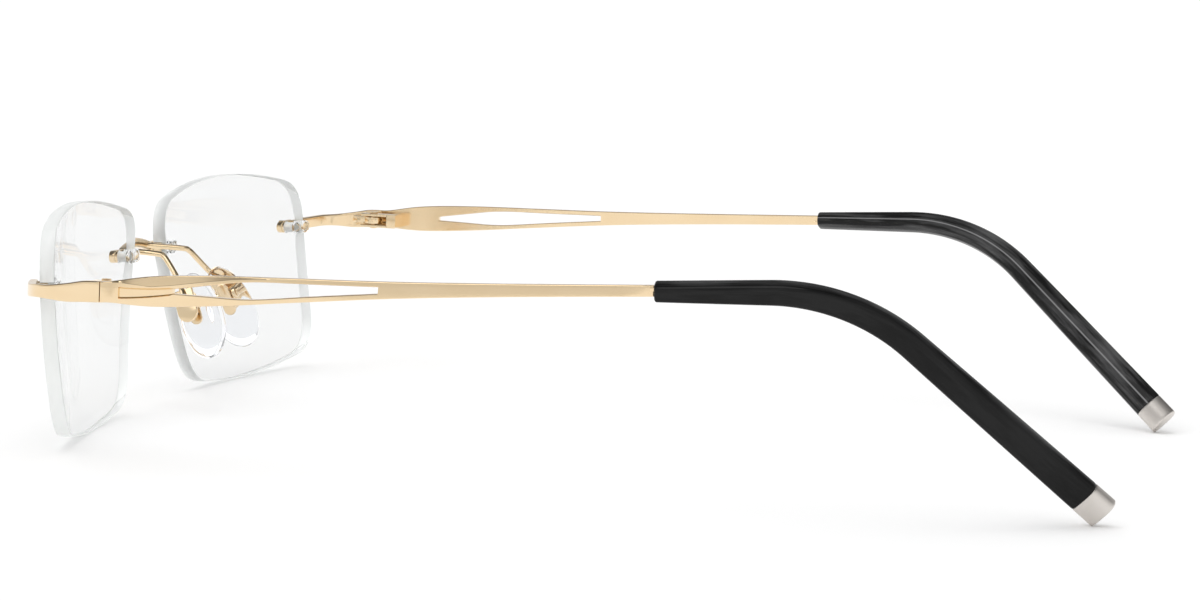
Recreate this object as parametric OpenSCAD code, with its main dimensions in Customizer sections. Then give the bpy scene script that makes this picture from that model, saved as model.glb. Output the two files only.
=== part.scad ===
// Rimless eyeglasses with drilled lenses, slotted metal temples and capped tips.
// Frame: +X is the wearer's left, +Y runs back along the temples, +Z is up.
// The glasses stand on the lens bottoms and the end caps, at z = 0.

/* [Lens outline, measured in the lens plane from its middle] */
// Top corner on the temple side, across
top_out_u = 23.4; // [22:0.1:25]
// Top corner on the temple side, up
top_out_v = 13.7; // [12:0.1:15]
// Top corner on the nose side, across
top_in_u = -29; // [-30:0.1:-28]
// Top corner on the nose side, up
top_in_v = 12.8; // [12:0.1:14]
// Bottom corner on the nose side, across
low_in_u = -19; // [-21:0.1:-17]
// Bottom corner on the nose side, up
low_in_v = -13.9; // [-14.5:0.1:-13]
// Bottom corner on the temple side, across
low_out_u = 24.6; // [23:0.1:26]
// Bottom corner on the temple side, up
low_out_v = -12.6; // [-13.5:0.1:-12]
// How far the top edge bows out
bow_top = 3.3; // [2:0.1:4]
// How far the nose edge bows out
bow_in = 0.55; // [0:0.05:1]
// How far the bottom edge bows out
bow_low = 2.15; // [1:0.05:2.5]
// How far the temple edge bows out
bow_out = 0.7; // [0:0.05:1]
// Length that a corner's rounding takes from each edge
corner_cut = 5; // [3:0.5:6]

/* [Lens] */
// Lens thickness
lens_t = 2; // [1.6:0.1:2.4]
// Radius of the lens's back surface
lens_r = 150; // [120:5:200]
// Sweep of a lens back at its temple side
lens_wrap = 7.6; // [6:0.2:9]
// Lean of the lens, bottom towards the face
lens_tilt = 6.3; // [5:0.1:7]
// Middle of the left lens, across
lens_x = 34.6; // [34:0.1:35]
// Middle of the left lens, back
lens_y = -70.9; // [-71.2:0.1:-70.6]
// Middle of the left lens, up
lens_z = 15.48; // [15:0.02:16]

/* [Lens mounts] */
// Middle of the temple-side mount in the lens plane, across
mount_out_u = 22.8; // [22.4:0.1:23]
// Middle of the nose-side mount in the lens plane, across
mount_in_u = -25.7; // [-26:0.1:-25.4]
// Height of both mounts in the lens plane
mount_v = 6.8; // [6:0.1:7.5]
// Distance between the two posts of a mount
post_pitch = 2.4; // [2.2:0.1:2.6]
// Radius of a post
post_r = 0.6; // [0.5:0.05:0.6]
// Radius of the hole in the lens
lens_hole_r = 0.8; // [0.75:0.05:0.9]
// Stand-off between the lens and the metal
shoulder_t = 0.4; // [0.2:0.1:0.6]
// Thickness of the clear plug behind the lens
plug_t = 0.7; // [0.5:0.1:1.2]

/* [Bridge and end pieces] */
// Thickness of the metal plates and strips
strip_t = 1.1; // [0.9:0.1:1.2]
// Height of the metal plates
plate_h = 1.8; // [1.6:0.1:2]
// Rise of the bridge's middle above its ends
bridge_rise = 1; // [0.5:0.1:1.5]
// Outer face of the end piece, across
endpiece_x = 69.6; // [69:0.1:70]
// Height of the end piece at the hinge
endpiece_h = 2.8; // [2.6:0.1:3]

/* [Hinge] */
// Hinge axis, across
hinge_x = 65.6; // [65.2:0.1:66]
// Hinge axis, back
hinge_y = -56.6; // [-57:0.1:-56.2]
// Middle height of the hinge
hinge_z = 23.6; // [23.4:0.1:23.8]
// Radius of the hinge knuckles
knuckle_r = 1.45; // [1.3:0.05:1.5]
// Height of the front hinge half's single knuckle
tongue_h = 1.1; // [1:0.05:1.4]
// Radius of the hinge screw's shank
screw_r = 0.42; // [0.35:0.01:0.45]
// Radial running clearance on the hinge screw
run_gap = 0.03; // [0.02:0.01:0.05]

/* [Temple] */
// Where the metal strand goes into the tip, back
tip_y = 17; // [16:1:18]
// Thickness of the strand
strand_t = 1.2; // [1:0.1:1.4]
// Depth of the channel cut in the strand's outer face
channel_depth = 0.35; // [0.2:0.05:0.5]
// Height of the strand over the channel
strand_h = 4; // [3.6:0.1:4.2]

/* [Temple tip] */
// Middle of the tip's front end, across
tip_x = 64.9; // [64.6:0.1:65.2]
// Middle of the tip's front end, up
tip_z = 28.22; // [28:0.02:28.4]
// Length of the straight stretch before the bend
tip_straight = 15; // [14:0.5:16]
// Radius of the bend behind the ear
tip_bend_r = 25.5; // [24:0.5:27]
// Whole length along the middle of the tip and its cap
tip_length = 69; // [68.5:0.1:69.5]
// Thickness of the tip
tip_t = 2.8; // [2.4:0.1:3]
// Length of the end cap
cap_length = 3.6; // [3:0.1:4]

/* [Nose pads] */
// Screw of the left nose pad, across
pad_x = 9; // [8.6:0.1:9.4]
// Screw of the left nose pad, back
pad_y = -63.4; // [-63.8:0.1:-63]
// Screw of the left nose pad, up
pad_z = 15.95; // [15.55:0.05:16.35]
// Turn of the pad about the vertical, rear edge outwards
pad_splay = 5; // [2:1:10]
// Spread of the pads, bottom outwards
pad_spread = 12; // [8:1:16]
// Lean of the pad's long side, bottom backwards
pad_lean = 22; // [18:1:26]
// Length of a pad
pad_l = 13; // [12:0.5:14]
// Width of a pad
pad_w = 6.8; // [6.5:0.1:7.2]
// Thickness of a pad
pad_t = 2.4; // [2:0.1:2.6]
// Radius of a pad arm's wire
wire_r = 0.42; // [0.38:0.01:0.46]

/* [Hidden] */
$fn = 48;
sphere_fn = 360;
eps = 0.01;
fit = 0.02;
cut = 20;

gold = [0.90, 0.78, 0.58];
clear = [0.93, 0.96, 0.96, 0.35];
silicone = [0.96, 0.97, 0.98, 0.5];
tip_black = [0.08, 0.08, 0.08];
silver = [0.78, 0.76, 0.73];

// Front surface of the metal at a mount, and the hinge's vertical layout
metal_back = -lens_t - shoulder_t;
post_end = -0.9;
hinge_h = 2.2;
hinge_low = hinge_z - hinge_h / 2;
hinge_high = hinge_z + hinge_h / 2;
leaf_gap = 0.15;
leaf_h = (hinge_h - tongue_h) / 2 - leaf_gap;
joint_gap = 0.1;
strip_in = endpiece_x - strip_t;
tongue_back = hinge_y + 0.4;
temple_front = tongue_back + joint_gap;

// ---------- Geometry functions ----------

function unit(v) = v / norm(v);

function mix(a, b, t) = a + (b - a) * t;

// A point of a smooth curve through p1 and p2, with p0 and p3 beside them
function smooth(p0, p1, p2, p3, t) = p1 + 0.5 * t * (p2 - p0
    + t * (2 * p0 - 5 * p1 + 4 * p2 - p3 + t * (3 * (p1 - p2) + p3 - p0)));

// A smooth curve through a list of points, with n steps between neighbours
function curve(p, n) = let (last = len(p) - 1) [
    for (i = [0 : last - 1], k = [0 : n - 1])
        smooth(p[max(i - 1, 0)], p[i], p[i + 1], p[min(i + 2, last)], k / n),
    p[last]
];

// Direction of travel at each point of a path
function tangents(p) = let (last = len(p) - 1) [
    for (i = [0 : last]) unit(p[min(i + 1, last)] - p[max(i - 1, 0)])
];

// Rounded rectangle of n points, w across and h high: a superellipse
function round_box(w, h, n, power = 0.45) = [
    for (i = [0 : n - 1]) let (a = 360 * (i + 0.5) / n) [
        sign(cos(a)) * pow(abs(cos(a)), power) * w / 2,
        sign(sin(a)) * pow(abs(sin(a)), power) * h / 2
    ]
];

// Carries a ring of cross-sections along a path; side and up give each section's axes
module sweep(path, side, up, sections) {
    n = len(sections[0]);
    m = len(path);
    rings = [
        for (i = [0 : m - 1], q = sections[i]) path[i] + q[0] * side[i] + q[1] * up[i]
    ];
    walls = [
        for (i = [0 : m - 2], k = [0 : n - 1]) each let (j = (k + 1) % n) [
            [i * n + k, (i + 1) * n + k, i * n + j],
            [i * n + j, (i + 1) * n + k, (i + 1) * n + j]
        ]
    ];
    start = [for (k = [0 : n - 1]) k];
    finish = [for (k = [n - 1 : -1 : 0]) (m - 1) * n + k];
    polyhedron(rings, concat(walls, [start, finish]));
}

// Carries round wire along a path
module wire(path, r, sides = 12) {
    t = tangents(path);
    side = [for (d = t) unit(cross([0, 0, 1], d) + [0.001, 0, 0])];
    up = [for (i = [0 : len(t) - 1]) cross(t[i], side[i])];
    ring = [for (a = [0 : 360 / sides : 359]) r * [cos(a), sin(a)]];
    sweep(path, side, up, [for (d = t) ring]);
}

module mirror_x() {
    mirror([1, 0, 0]) children();
}

// ---------- Lens ----------

corners = [
    [top_out_u, top_out_v], [top_in_u, top_in_v],
    [low_in_u, low_in_v], [low_out_u, low_out_v]
];
bows = [bow_top, bow_in, bow_low, bow_out];

// A point of edge i of the lens outline, t from 0 to 1: a straight line plus a parabola
function edge_point(i, t) = let (
    a = corners[i],
    b = corners[(i + 1) % 4],
    d = unit(b - a)
) mix(a, b, t) + [d[1], -d[0]] * 4 * bows[i] * t * (1 - t);

function edge_length(i) = norm(corners[(i + 1) % 4] - corners[i]);

// Edge i between its two roundings, then the rounding of the corner after it
function edge_and_corner(i) = let (
    j = (i + 1) % 4,
    t0 = corner_cut / edge_length(i),
    a = edge_point(i, 1 - t0),
    b = edge_point(j, corner_cut / edge_length(j)),
    c = corners[j]
) concat(
    [for (k = [0 : 9]) edge_point(i, mix(t0, 1 - t0, k / 9))],
    [for (k = [1 : 7]) let (t = k / 8) mix(mix(a, c, t), mix(c, b, t), t)]
);

outline = [for (i = [0 : 3]) each edge_and_corner(i)];

// Puts a shape given in the lens plane (u across, y back, v up) in its place
module at_lens() {
    translate([lens_x, lens_y, lens_z]) rotate([lens_tilt, 0, lens_wrap]) children();
}

// Puts a shape on the lens's back surface at (u, v), with +Y square to the glass
module at_mount(u) {
    at_lens() translate([0, lens_r, 0])
        rotate([-asin(mount_v / lens_r), 0, asin(u / lens_r)])
            translate([0, -lens_r, 0]) children();
}

// A rod along +Y from y0 to y1
module rod_y(r, y0, y1) {
    translate([0, y0, 0]) rotate([-90, 0, 0]) cylinder(r = r, h = y1 - y0);
}

// Both posts' places at a mount
module each_post() {
    for (s = [-1, 1]) translate([s * post_pitch / 2, 0, 0]) children();
}

// A slot open to the lens edge beside the outer post; way is 1 on the temple side
module edge_notch(way) {
    translate([way * post_pitch / 2, 0, 0]) {
        rod_y(lens_hole_r, -cut / 4, cut / 4);
        translate([min(0, way * cut / 10), -cut / 4, -lens_hole_r])
            cube([cut / 10, cut / 2, 2 * lens_hole_r]);
    }
}

module lens() {
    difference() {
        at_lens() difference() {
            intersection() {
                translate([0, cut, 0]) rotate([90, 0, 0])
                    linear_extrude(height = 2 * cut) polygon(outline);
                translate([0, lens_r, 0]) sphere(r = lens_r + lens_t, $fn = sphere_fn);
            }
            translate([0, lens_r, 0]) sphere(r = lens_r, $fn = sphere_fn);
        }
        at_mount(mount_out_u) {
            translate([-post_pitch / 2, 0, 0]) rod_y(lens_hole_r, -cut / 4, cut / 4);
            edge_notch(1);
        }
        at_mount(mount_in_u) {
            translate([post_pitch / 2, 0, 0]) rod_y(lens_hole_r, -cut / 4, cut / 4);
            edge_notch(-1);
        }
    }
}

// Clear plug: a head behind the lens and two blind sleeves that fill the lens holes
module plug(u) {
    head_r = plate_h / 2 + 0.1;
    at_mount(u) difference() {
        union() {
            each_post() rod_y(head_r, fit, plug_t);
            translate([-post_pitch / 2, fit, -head_r])
                cube([post_pitch, plug_t - fit, 2 * head_r]);
            each_post() rod_y(lens_hole_r - fit, -lens_t + fit, plug_t);
        }
        each_post() rod_y(post_r + fit, -cut / 4, post_end + fit);
    }
}

// Metal posts, hollow at the end, with shoulders that stop against the lens
module posts(u) {
    at_mount(u) each_post() difference() {
        union() {
            rod_y(post_r, metal_back - eps, post_end);
            rod_y(lens_hole_r, metal_back - eps, -lens_t - fit);
        }
        rod_y(post_r / 2, post_end - 0.6, post_end + 1);
    }
}

// ---------- Bridge and pad arms ----------

// Plate in front of the lens, a rectangle with a round end on the lens side
module bridge_plate() {
    at_mount(mount_in_u) translate([0, metal_back - strip_t, 0]) {
        translate([post_pitch / 2, 0, 0]) rod_y(plate_h / 2, 0, strip_t);
        translate([-post_pitch / 2 - plate_h / 2, 0, -plate_h / 2])
            cube([post_pitch + plate_h / 2, strip_t, plate_h]);
    }
}

bridge_half = 7.1;
bridge_front_y = -76.1;
bridge_end_z = 22.55;
bridge_bar_w = 1.3;
bridge_bar_h = 1.5;

// The bridge bar is a shallow arch, half a cosine wave on each side of the middle
module bridge_bar() {
    steps = 24;
    path = [
        for (i = [0 : steps]) let (x = mix(-bridge_half, bridge_half, i / steps))
            [x, bridge_front_y + bridge_bar_w / 2 - 0.2 * cos(90 * x / bridge_half),
             bridge_end_z + bridge_rise * cos(90 * x / bridge_half)]
    ];
    side = [for (p = path) [0, -1, 0]];
    up = [for (t = tangents(path)) unit(cross(t, [0, -1, 0]))];
    ring = round_box(bridge_bar_w, bridge_bar_h, 16);
    sweep(path, side, up, [for (p = path) ring]);
}

module bridge() {
    color(gold) {
        bridge_bar();
        for (m = [0, 1]) mirror([m, 0, 0]) {
            bridge_plate();
            posts(mount_in_u);
        }
    }
}

// Left pad arm: back from the bridge, then down and out to the pad box
arm_points = [
    [4.8, -75.2, 22.9], [5.6, -69.6, 22.75], [5.9, -68.6, 22.45], [6.15, -67.9, 21.8],
    [6.9, -66.5, 20.2], [7.64, -65.63, 19.21], [8.97, -64.8, 18.66], [9.96, -64.35, 18.11],
    [10.46, -63.95, 17.11], [10.7, -63.68, 16.23]
];

module pad_arm() {
    color(gold) wire(curve(arm_points, 4), wire_r);
}

// ---------- Nose pad ----------

// Pad frame: +X faces the nose, +Y runs back across the pad, +Z runs up the pad
module at_pad() {
    translate([pad_x, pad_y, pad_z])
        rotate([pad_lean, 0, 0]) rotate([0, -pad_spread, 0]) rotate([0, 0, -pad_splay])
            mirror([1, 0, 0]) children();
}

box_w = 3.2;
box_h = 4.4;
box_depth = 1.7;
cheek_t = 0.6;
box_wall = 0.5;
lug_w = box_w - 2 * cheek_t - 0.16;
lug_r = 0.75;
pad_screw_r = 0.35;

// Cup at the end of the arm: a back wall with a round foot, and two cheeks
module pad_box() {
    color(gold) at_pad() difference() {
        union() {
            translate([-box_depth / 2 - box_wall, -box_w / 2, -box_h / 4])
                cube([box_wall, box_w, box_h * 0.75]);
            translate([-box_depth / 2 - box_wall, 0, -box_h / 4]) rotate([0, 90, 0])
                cylinder(r = box_w / 2, h = box_wall);
            for (s = [0, 1]) mirror([0, s, 0])
                translate([-box_depth / 2 - eps, box_w / 2 - cheek_t, -lug_r - 0.2])
                    cube([box_depth / 2 + 0.6, cheek_t, 2 * lug_r + 0.4]);
        }
        translate([0, -cut / 2, 0]) rotate([-90, 0, 0])
            cylinder(r = pad_screw_r + fit, h = cut);
    }
}

module pad_screw() {
    color(gold) at_pad() {
        rod_y(pad_screw_r, -box_w / 2, box_w / 2 + fit + eps);
        rod_y(0.6, box_w / 2 + fit, box_w / 2 + 0.35);
    }
}

insert_x = 1.05;
insert_t = 0.6;
insert_h = 5;
insert_low = -insert_h / 2 - 0.4;

// Metal insert: a lug on the screw and a long plate sunk in the pad's back
module pad_insert() {
    color(gold) at_pad() difference() {
        union() {
            rod_y(lug_r, -lug_w / 2, lug_w / 2);
            translate([0, -lug_w / 2, -lug_r]) cube([insert_x + eps, lug_w, 2 * lug_r]);
            translate([insert_x, -lug_w / 2, insert_low])
                cube([insert_t, lug_w, insert_h]);
        }
        rod_y(pad_screw_r + run_gap, -cut / 2, cut / 2);
    }
}

pad_shift = [insert_x + pad_t / 2 - 0.1, 0.4, -1.6];

// Soft pad: oval slices whose size follows a rounded edge, with a slot for the insert
module nose_pad() {
    steps = 12;
    path = [for (i = [0 : steps]) [-pad_t / 2 * cos(180 * i / steps), 0, 0] + pad_shift];
    sizes = [for (i = [0 : steps]) 0.62 + 0.38 * pow(sin(180 * i / steps), 0.8)];
    color(silicone) at_pad() difference() {
        sweep(
            path,
            [for (p = path) [0, 1, 0]],
            [for (p = path) [0, 0, 1]],
            [for (k = sizes) [
                for (a = [0 : 10 : 350])
                    k * [pad_w / 2 * cos(a) * (1 - 0.12 * sin(a)), pad_l / 2 * sin(a)]
            ]]
        );
        translate([-cut + insert_x + insert_t + fit, -lug_w / 2 - fit, insert_low - fit])
            cube([cut, lug_w + 2 * fit, insert_h + 2 * fit]);
    }
}

// ---------- End piece ----------

// Plan of the strip's outer face, from the lens mount round the corner to the hinge
strip_points = [
    [56.6, -70.55, 22.4], [60.5, -69.4, 22.45], [64.2, -67.95, 22.65], [67.1, -66, 22.95],
    [68.65, -63.7, 23.05], [69.3, -61.0, 23.2], [69.55, -58.4, 23.52], [69.6, -56.2, 23.6]
];
strip_heights = [plate_h, 1.8, 1.75, 1.75, 1.9, 2.45, endpiece_h, endpiece_h];

module strip() {
    path = curve(strip_points, 4);
    heights = curve([for (h = strip_heights) [h, 0]], 4);
    flat = [for (t = tangents(path)) unit([t[0], t[1], 0])];
    inward = [for (t = flat) [-t[1], t[0], 0]];
    up = [for (t = flat) [0, 0, 1]];
    middle = [for (i = [0 : len(path) - 1]) path[i] + inward[i] * strip_t / 2];
    sweep(middle, inward, up, [for (h = heights) round_box(strip_t, h[0], 16, 0.3)]);
}

module end_plate() {
    at_mount(mount_out_u) translate([0, metal_back - strip_t, 0]) {
        translate([-post_pitch / 2, 0, 0]) rod_y(plate_h / 2, 0, strip_t);
        translate([-post_pitch / 2, 0, -plate_h / 2])
            cube([post_pitch + plate_h / 2, strip_t, plate_h]);
    }
}

module end_piece() {
    color(gold) {
        strip();
        end_plate();
        posts(mount_out_u);
    }
}

// ---------- Hinge ----------

module at_hinge(z) {
    translate([hinge_x, hinge_y, z]) children();
}

// Front half: one knuckle on a foot that is brazed inside the end piece
module hinge_tongue() {
    low = hinge_z - tongue_h / 2;
    color(gold) difference() {
        union() {
            at_hinge(low) cylinder(r = knuckle_r, h = tongue_h);
            translate([hinge_x, hinge_y - 3.6, low])
                cube([strip_in - hinge_x - fit, 3.6, tongue_h]);
        }
        at_hinge(low - 1) cylinder(r = screw_r + run_gap, h = tongue_h + 2);
    }
}

// Rear half: two leaves joined by a root block inside the temple
module hinge_clevis() {
    root_y = hinge_y + 2.5;
    leaf_front = 1.9;
    color(gold) difference() {
        union() {
            for (z = [hinge_low, hinge_high - leaf_h]) {
                translate([hinge_x - knuckle_r, hinge_y - leaf_front, z])
                    cube([2 * knuckle_r, root_y - hinge_y + leaf_front + eps, leaf_h]);
            }
            translate([hinge_x - knuckle_r, root_y, hinge_low])
                cube([endpiece_x - strand_t - hinge_x + knuckle_r - fit, 1.5, hinge_h]);
        }
        at_hinge(hinge_low - 1) cylinder(r = screw_r + 0.01, h = hinge_h + 2);
    }
}

module hinge_screw() {
    color(gold) at_hinge(0) {
        translate([0, 0, hinge_low - 0.15]) cylinder(r = screw_r, h = hinge_h + 0.2);
        translate([0, 0, hinge_high + fit]) cylinder(r = 0.65, h = 0.3);
        translate([0, 0, hinge_low - 0.2 - fit]) cylinder(r = 0.55, h = 0.2);
    }
}

// ---------- Temple ----------

strand_length = tip_y - temple_front;

// Outer face of the strand, across: it leans in and bows a little
function strand_x(y) = let (t = (y - temple_front) / strand_length)
    endpiece_x - 2.6 * t - 1.5 * t * t;

// Middle line of the strand, up: a rising line with a slight hump
function strand_z(y) = let (t = (y - temple_front) / strand_length)
    mix(hinge_z, tip_z, t) + 0.15 * sin(180 * t);

// Half heights of the strand from hinge to tip, as parts of its full height
strand_profile = [
    [0, 0.35], [0.02, 0.355], [0.1, 0.5], [0.22, 0.49], [0.36, 0.39],
    [0.54, 0.27], [0.75, 0.21], [1, 0.185]
];

function strand_edge(way) = [
    for (p = curve(strand_profile, 5)) let (y = temple_front + p[0] * strand_length)
        [y, strand_z(y) + way * p[1] * strand_h]
];

function reversed(p) = [for (i = [len(p) - 1 : -1 : 0]) p[i]];

// Side view of the strand, as seen along X
module strand_side() {
    polygon(concat(strand_edge(1), reversed(strand_edge(-1))));
}

slot_front = 10.3;
slot_middle = 20;
slot_back = 37.7;

// The see-through slot: a long diamond with square ends
module slot_side() {
    places = [[slot_front, 0.3], [slot_middle, 1.12], [slot_back, 0.42]];
    pts = [for (p = places) [hinge_y + p[0], p[1]]];
    polygon(concat(
        [for (p = pts) [p[0], strand_z(p[0]) + p[1]]],
        reversed([for (p = pts) [p[0], strand_z(p[0]) - p[1]]])
    ));
}

// The channel in front of the slot: wide at the hinge, closing to the slot
module channel_side() {
    y0 = hinge_y + 3;
    y1 = hinge_y + slot_front + 0.5;
    polygon([
        [y0, hinge_z - 0.7], [y0, hinge_z + 0.9],
        [y1, strand_z(y1) + 0.3], [y1, strand_z(y1) - 0.3]
    ]);
}

// Turns a side view (back, up) into a solid that runs along X
module along_x(x0, x1) {
    translate([x0, 0, 0]) rotate([90, 0, 90]) linear_extrude(height = x1 - x0) children();
}

module strand_plan() {
    ys = [for (i = [0 : 20]) mix(temple_front, tip_y + 2, i / 20)];
    polygon(concat(
        [for (y = ys) [strand_x(y), y]],
        reversed([for (y = ys) [strand_x(y) - strand_t, y]])
    ));
}

module temple() {
    color(gold) {
        difference() {
            intersection() {
                linear_extrude(height = 2 * cut) strand_plan();
                along_x(0, 4 * cut) strand_side();
            }
            along_x(0, 4 * cut) slot_side();
            along_x(strand_x(hinge_y + 6) - channel_depth, 4 * cut) channel_side();
        }
        tip_core(0);
    }
}

// ---------- Temple tip ----------

// The tip's middle line: straight, then an arc, then straight down and inwards
tip_dir = unit([-0.06, 1, 0.05]);
drop_dir = unit([-0.42, 1, -0.863]);
bend_angle = acos(tip_dir * drop_dir);
bend_dir = unit(drop_dir - (drop_dir * tip_dir) * tip_dir);
bend_length = tip_bend_r * bend_angle * PI / 180;
side_dir = cross(tip_dir, bend_dir);

function turn(a) = cos(a) * tip_dir + sin(a) * bend_dir;

// Angle turned and place reached after a length s along the middle line
function tip_angle(s) = bend_angle * min(max((s - tip_straight) / bend_length, 0), 1);

function tip_point(s) = let (a = tip_angle(s)) [tip_x, tip_y, tip_z]
    + min(s, tip_straight) * tip_dir
    + tip_bend_r * (sin(a) * tip_dir + (1 - cos(a)) * bend_dir)
    + max(s - tip_straight - bend_length, 0) * drop_dir;

// Height of the tip's blade after a length s
function tip_height(s) = let (t = s / tip_length)
    2.4 * (1 - t) * (1 - 2 * t) + 4 * 3.7 * t * (1 - t) + 4.5 * t * (2 * t - 1);

// Any bar that follows the middle line, given its ring at each length
module tip_bar(lengths, rings) {
    sweep(
        [for (s = lengths) tip_point(s)],
        [for (s = lengths) side_dir],
        [for (s = lengths) cross(turn(tip_angle(s)), side_dir)],
        rings
    );
}

function steps_between(a, b, n) = [for (i = [0 : n]) mix(a, b, i / n)];

cap_start = tip_length - cap_length;

// Flat wire inside the tip; grow widens it to make its socket
module tip_core(grow) {
    lengths = steps_between(-0.5, cap_start + 1.5 + grow, 24);
    tip_bar(lengths, [for (s = lengths) round_box(1.1 + 2 * grow, 1.3 + 2 * grow, 8, 0.3)]);
}

// Blade through a list of lengths, a little smaller at its rounded start
module tip_blade(lengths) {
    tip_bar(lengths, [
        for (s = lengths) let (k = 0.86 + 0.14 * pow(min(1, s / 0.9), 0.5))
            round_box(k * tip_t, k * tip_height(s), 20, 0.6)
    ]);
}

module temple_tip() {
    color(tip_black) difference() {
        tip_blade(concat([0, 0.2, 0.5], steps_between(1, cap_start, 34)));
        tip_core(0.04);
    }
}

module end_cap() {
    color(silver) difference() {
        tip_blade(steps_between(cap_start, tip_length, 4));
        tip_core(0.04);
    }
}

// ---------- Sides ----------

module lens_left() { color(clear) lens(); }
module lens_right() { color(clear) mirror_x() lens(); }
module nose_side_plug_left() { color(clear) plug(mount_in_u); }
module nose_side_plug_right() { color(clear) mirror_x() plug(mount_in_u); }
module temple_side_plug_left() { color(clear) plug(mount_out_u); }
module temple_side_plug_right() { color(clear) mirror_x() plug(mount_out_u); }

lens_left();
lens_right();
bridge();
nose_side_plug_left();
nose_side_plug_right();
temple_side_plug_left();
temple_side_plug_right();
pad_arm();  // pad_arm_left
mirror_x() pad_arm();  // pad_arm_right
pad_box();  // pad_box_left
mirror_x() pad_box();  // pad_box_right
pad_screw();  // pad_screw_left
mirror_x() pad_screw();  // pad_screw_right
pad_insert();  // pad_insert_left
mirror_x() pad_insert();  // pad_insert_right
nose_pad();  // nose_pad_left
mirror_x() nose_pad();  // nose_pad_right
end_piece();  // end_piece_left
mirror_x() end_piece();  // end_piece_right
hinge_tongue();  // hinge_tongue_left
mirror_x() hinge_tongue();  // hinge_tongue_right
hinge_clevis();  // hinge_clevis_left
mirror_x() hinge_clevis();  // hinge_clevis_right
hinge_screw();  // hinge_screw_left
mirror_x() hinge_screw();  // hinge_screw_right
temple();  // temple_left
mirror_x() temple();  // temple_right
temple_tip();  // temple_tip_left
mirror_x() temple_tip();  // temple_tip_right
end_cap();  // end_cap_left
mirror_x() end_cap();  // end_cap_right
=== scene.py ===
"""Rimless eyeglasses with drilled lenses, slotted gold temples and black tips.

The CAD nodes give every position. Each class below makes one sub-assembly for both
sides as finished meshes, in millimetres, and dresses it in its own finish. The frame
is the CAD's: +X is the wearer's left, +Y runs back along the temples, +Z is up.
"""

import logging
import math
from dataclasses import dataclass, field
from enum import Enum

import bmesh
import bpy
import numpy as np
from mathutils import Matrix, Vector
from mathutils.geometry import delaunay_2d_cdt


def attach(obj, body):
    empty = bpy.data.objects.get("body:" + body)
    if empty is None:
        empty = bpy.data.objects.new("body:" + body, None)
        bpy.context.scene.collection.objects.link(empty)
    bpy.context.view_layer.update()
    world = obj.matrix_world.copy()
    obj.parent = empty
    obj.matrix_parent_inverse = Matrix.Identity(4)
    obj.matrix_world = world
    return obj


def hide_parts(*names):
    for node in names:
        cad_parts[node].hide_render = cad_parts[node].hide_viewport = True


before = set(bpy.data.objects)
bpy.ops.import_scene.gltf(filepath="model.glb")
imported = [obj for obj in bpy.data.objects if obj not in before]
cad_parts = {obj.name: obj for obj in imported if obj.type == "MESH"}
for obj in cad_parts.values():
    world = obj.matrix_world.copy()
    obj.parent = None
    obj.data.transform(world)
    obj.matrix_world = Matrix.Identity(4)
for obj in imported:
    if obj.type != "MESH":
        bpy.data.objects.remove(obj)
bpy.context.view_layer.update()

log = logging.getLogger("eyeglasses")
MM = 0.001
# The part of the noise's range that carries most of its change
NOISE_RANGE = (0.3, 0.7)
# Angles of the steps in a rounded rim
RIM_ANGLES = np.radians([0, 30, 60, 90])


class Side(Enum):
    """The two sides of the wearer; the value multiplies X."""

    LEFT = 1
    RIGHT = -1

    @property
    def word(self) -> str:
        """The side's name as node and body names use it."""
        return self.name.lower()


# ---------------------------------------------------------------- finishes


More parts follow.
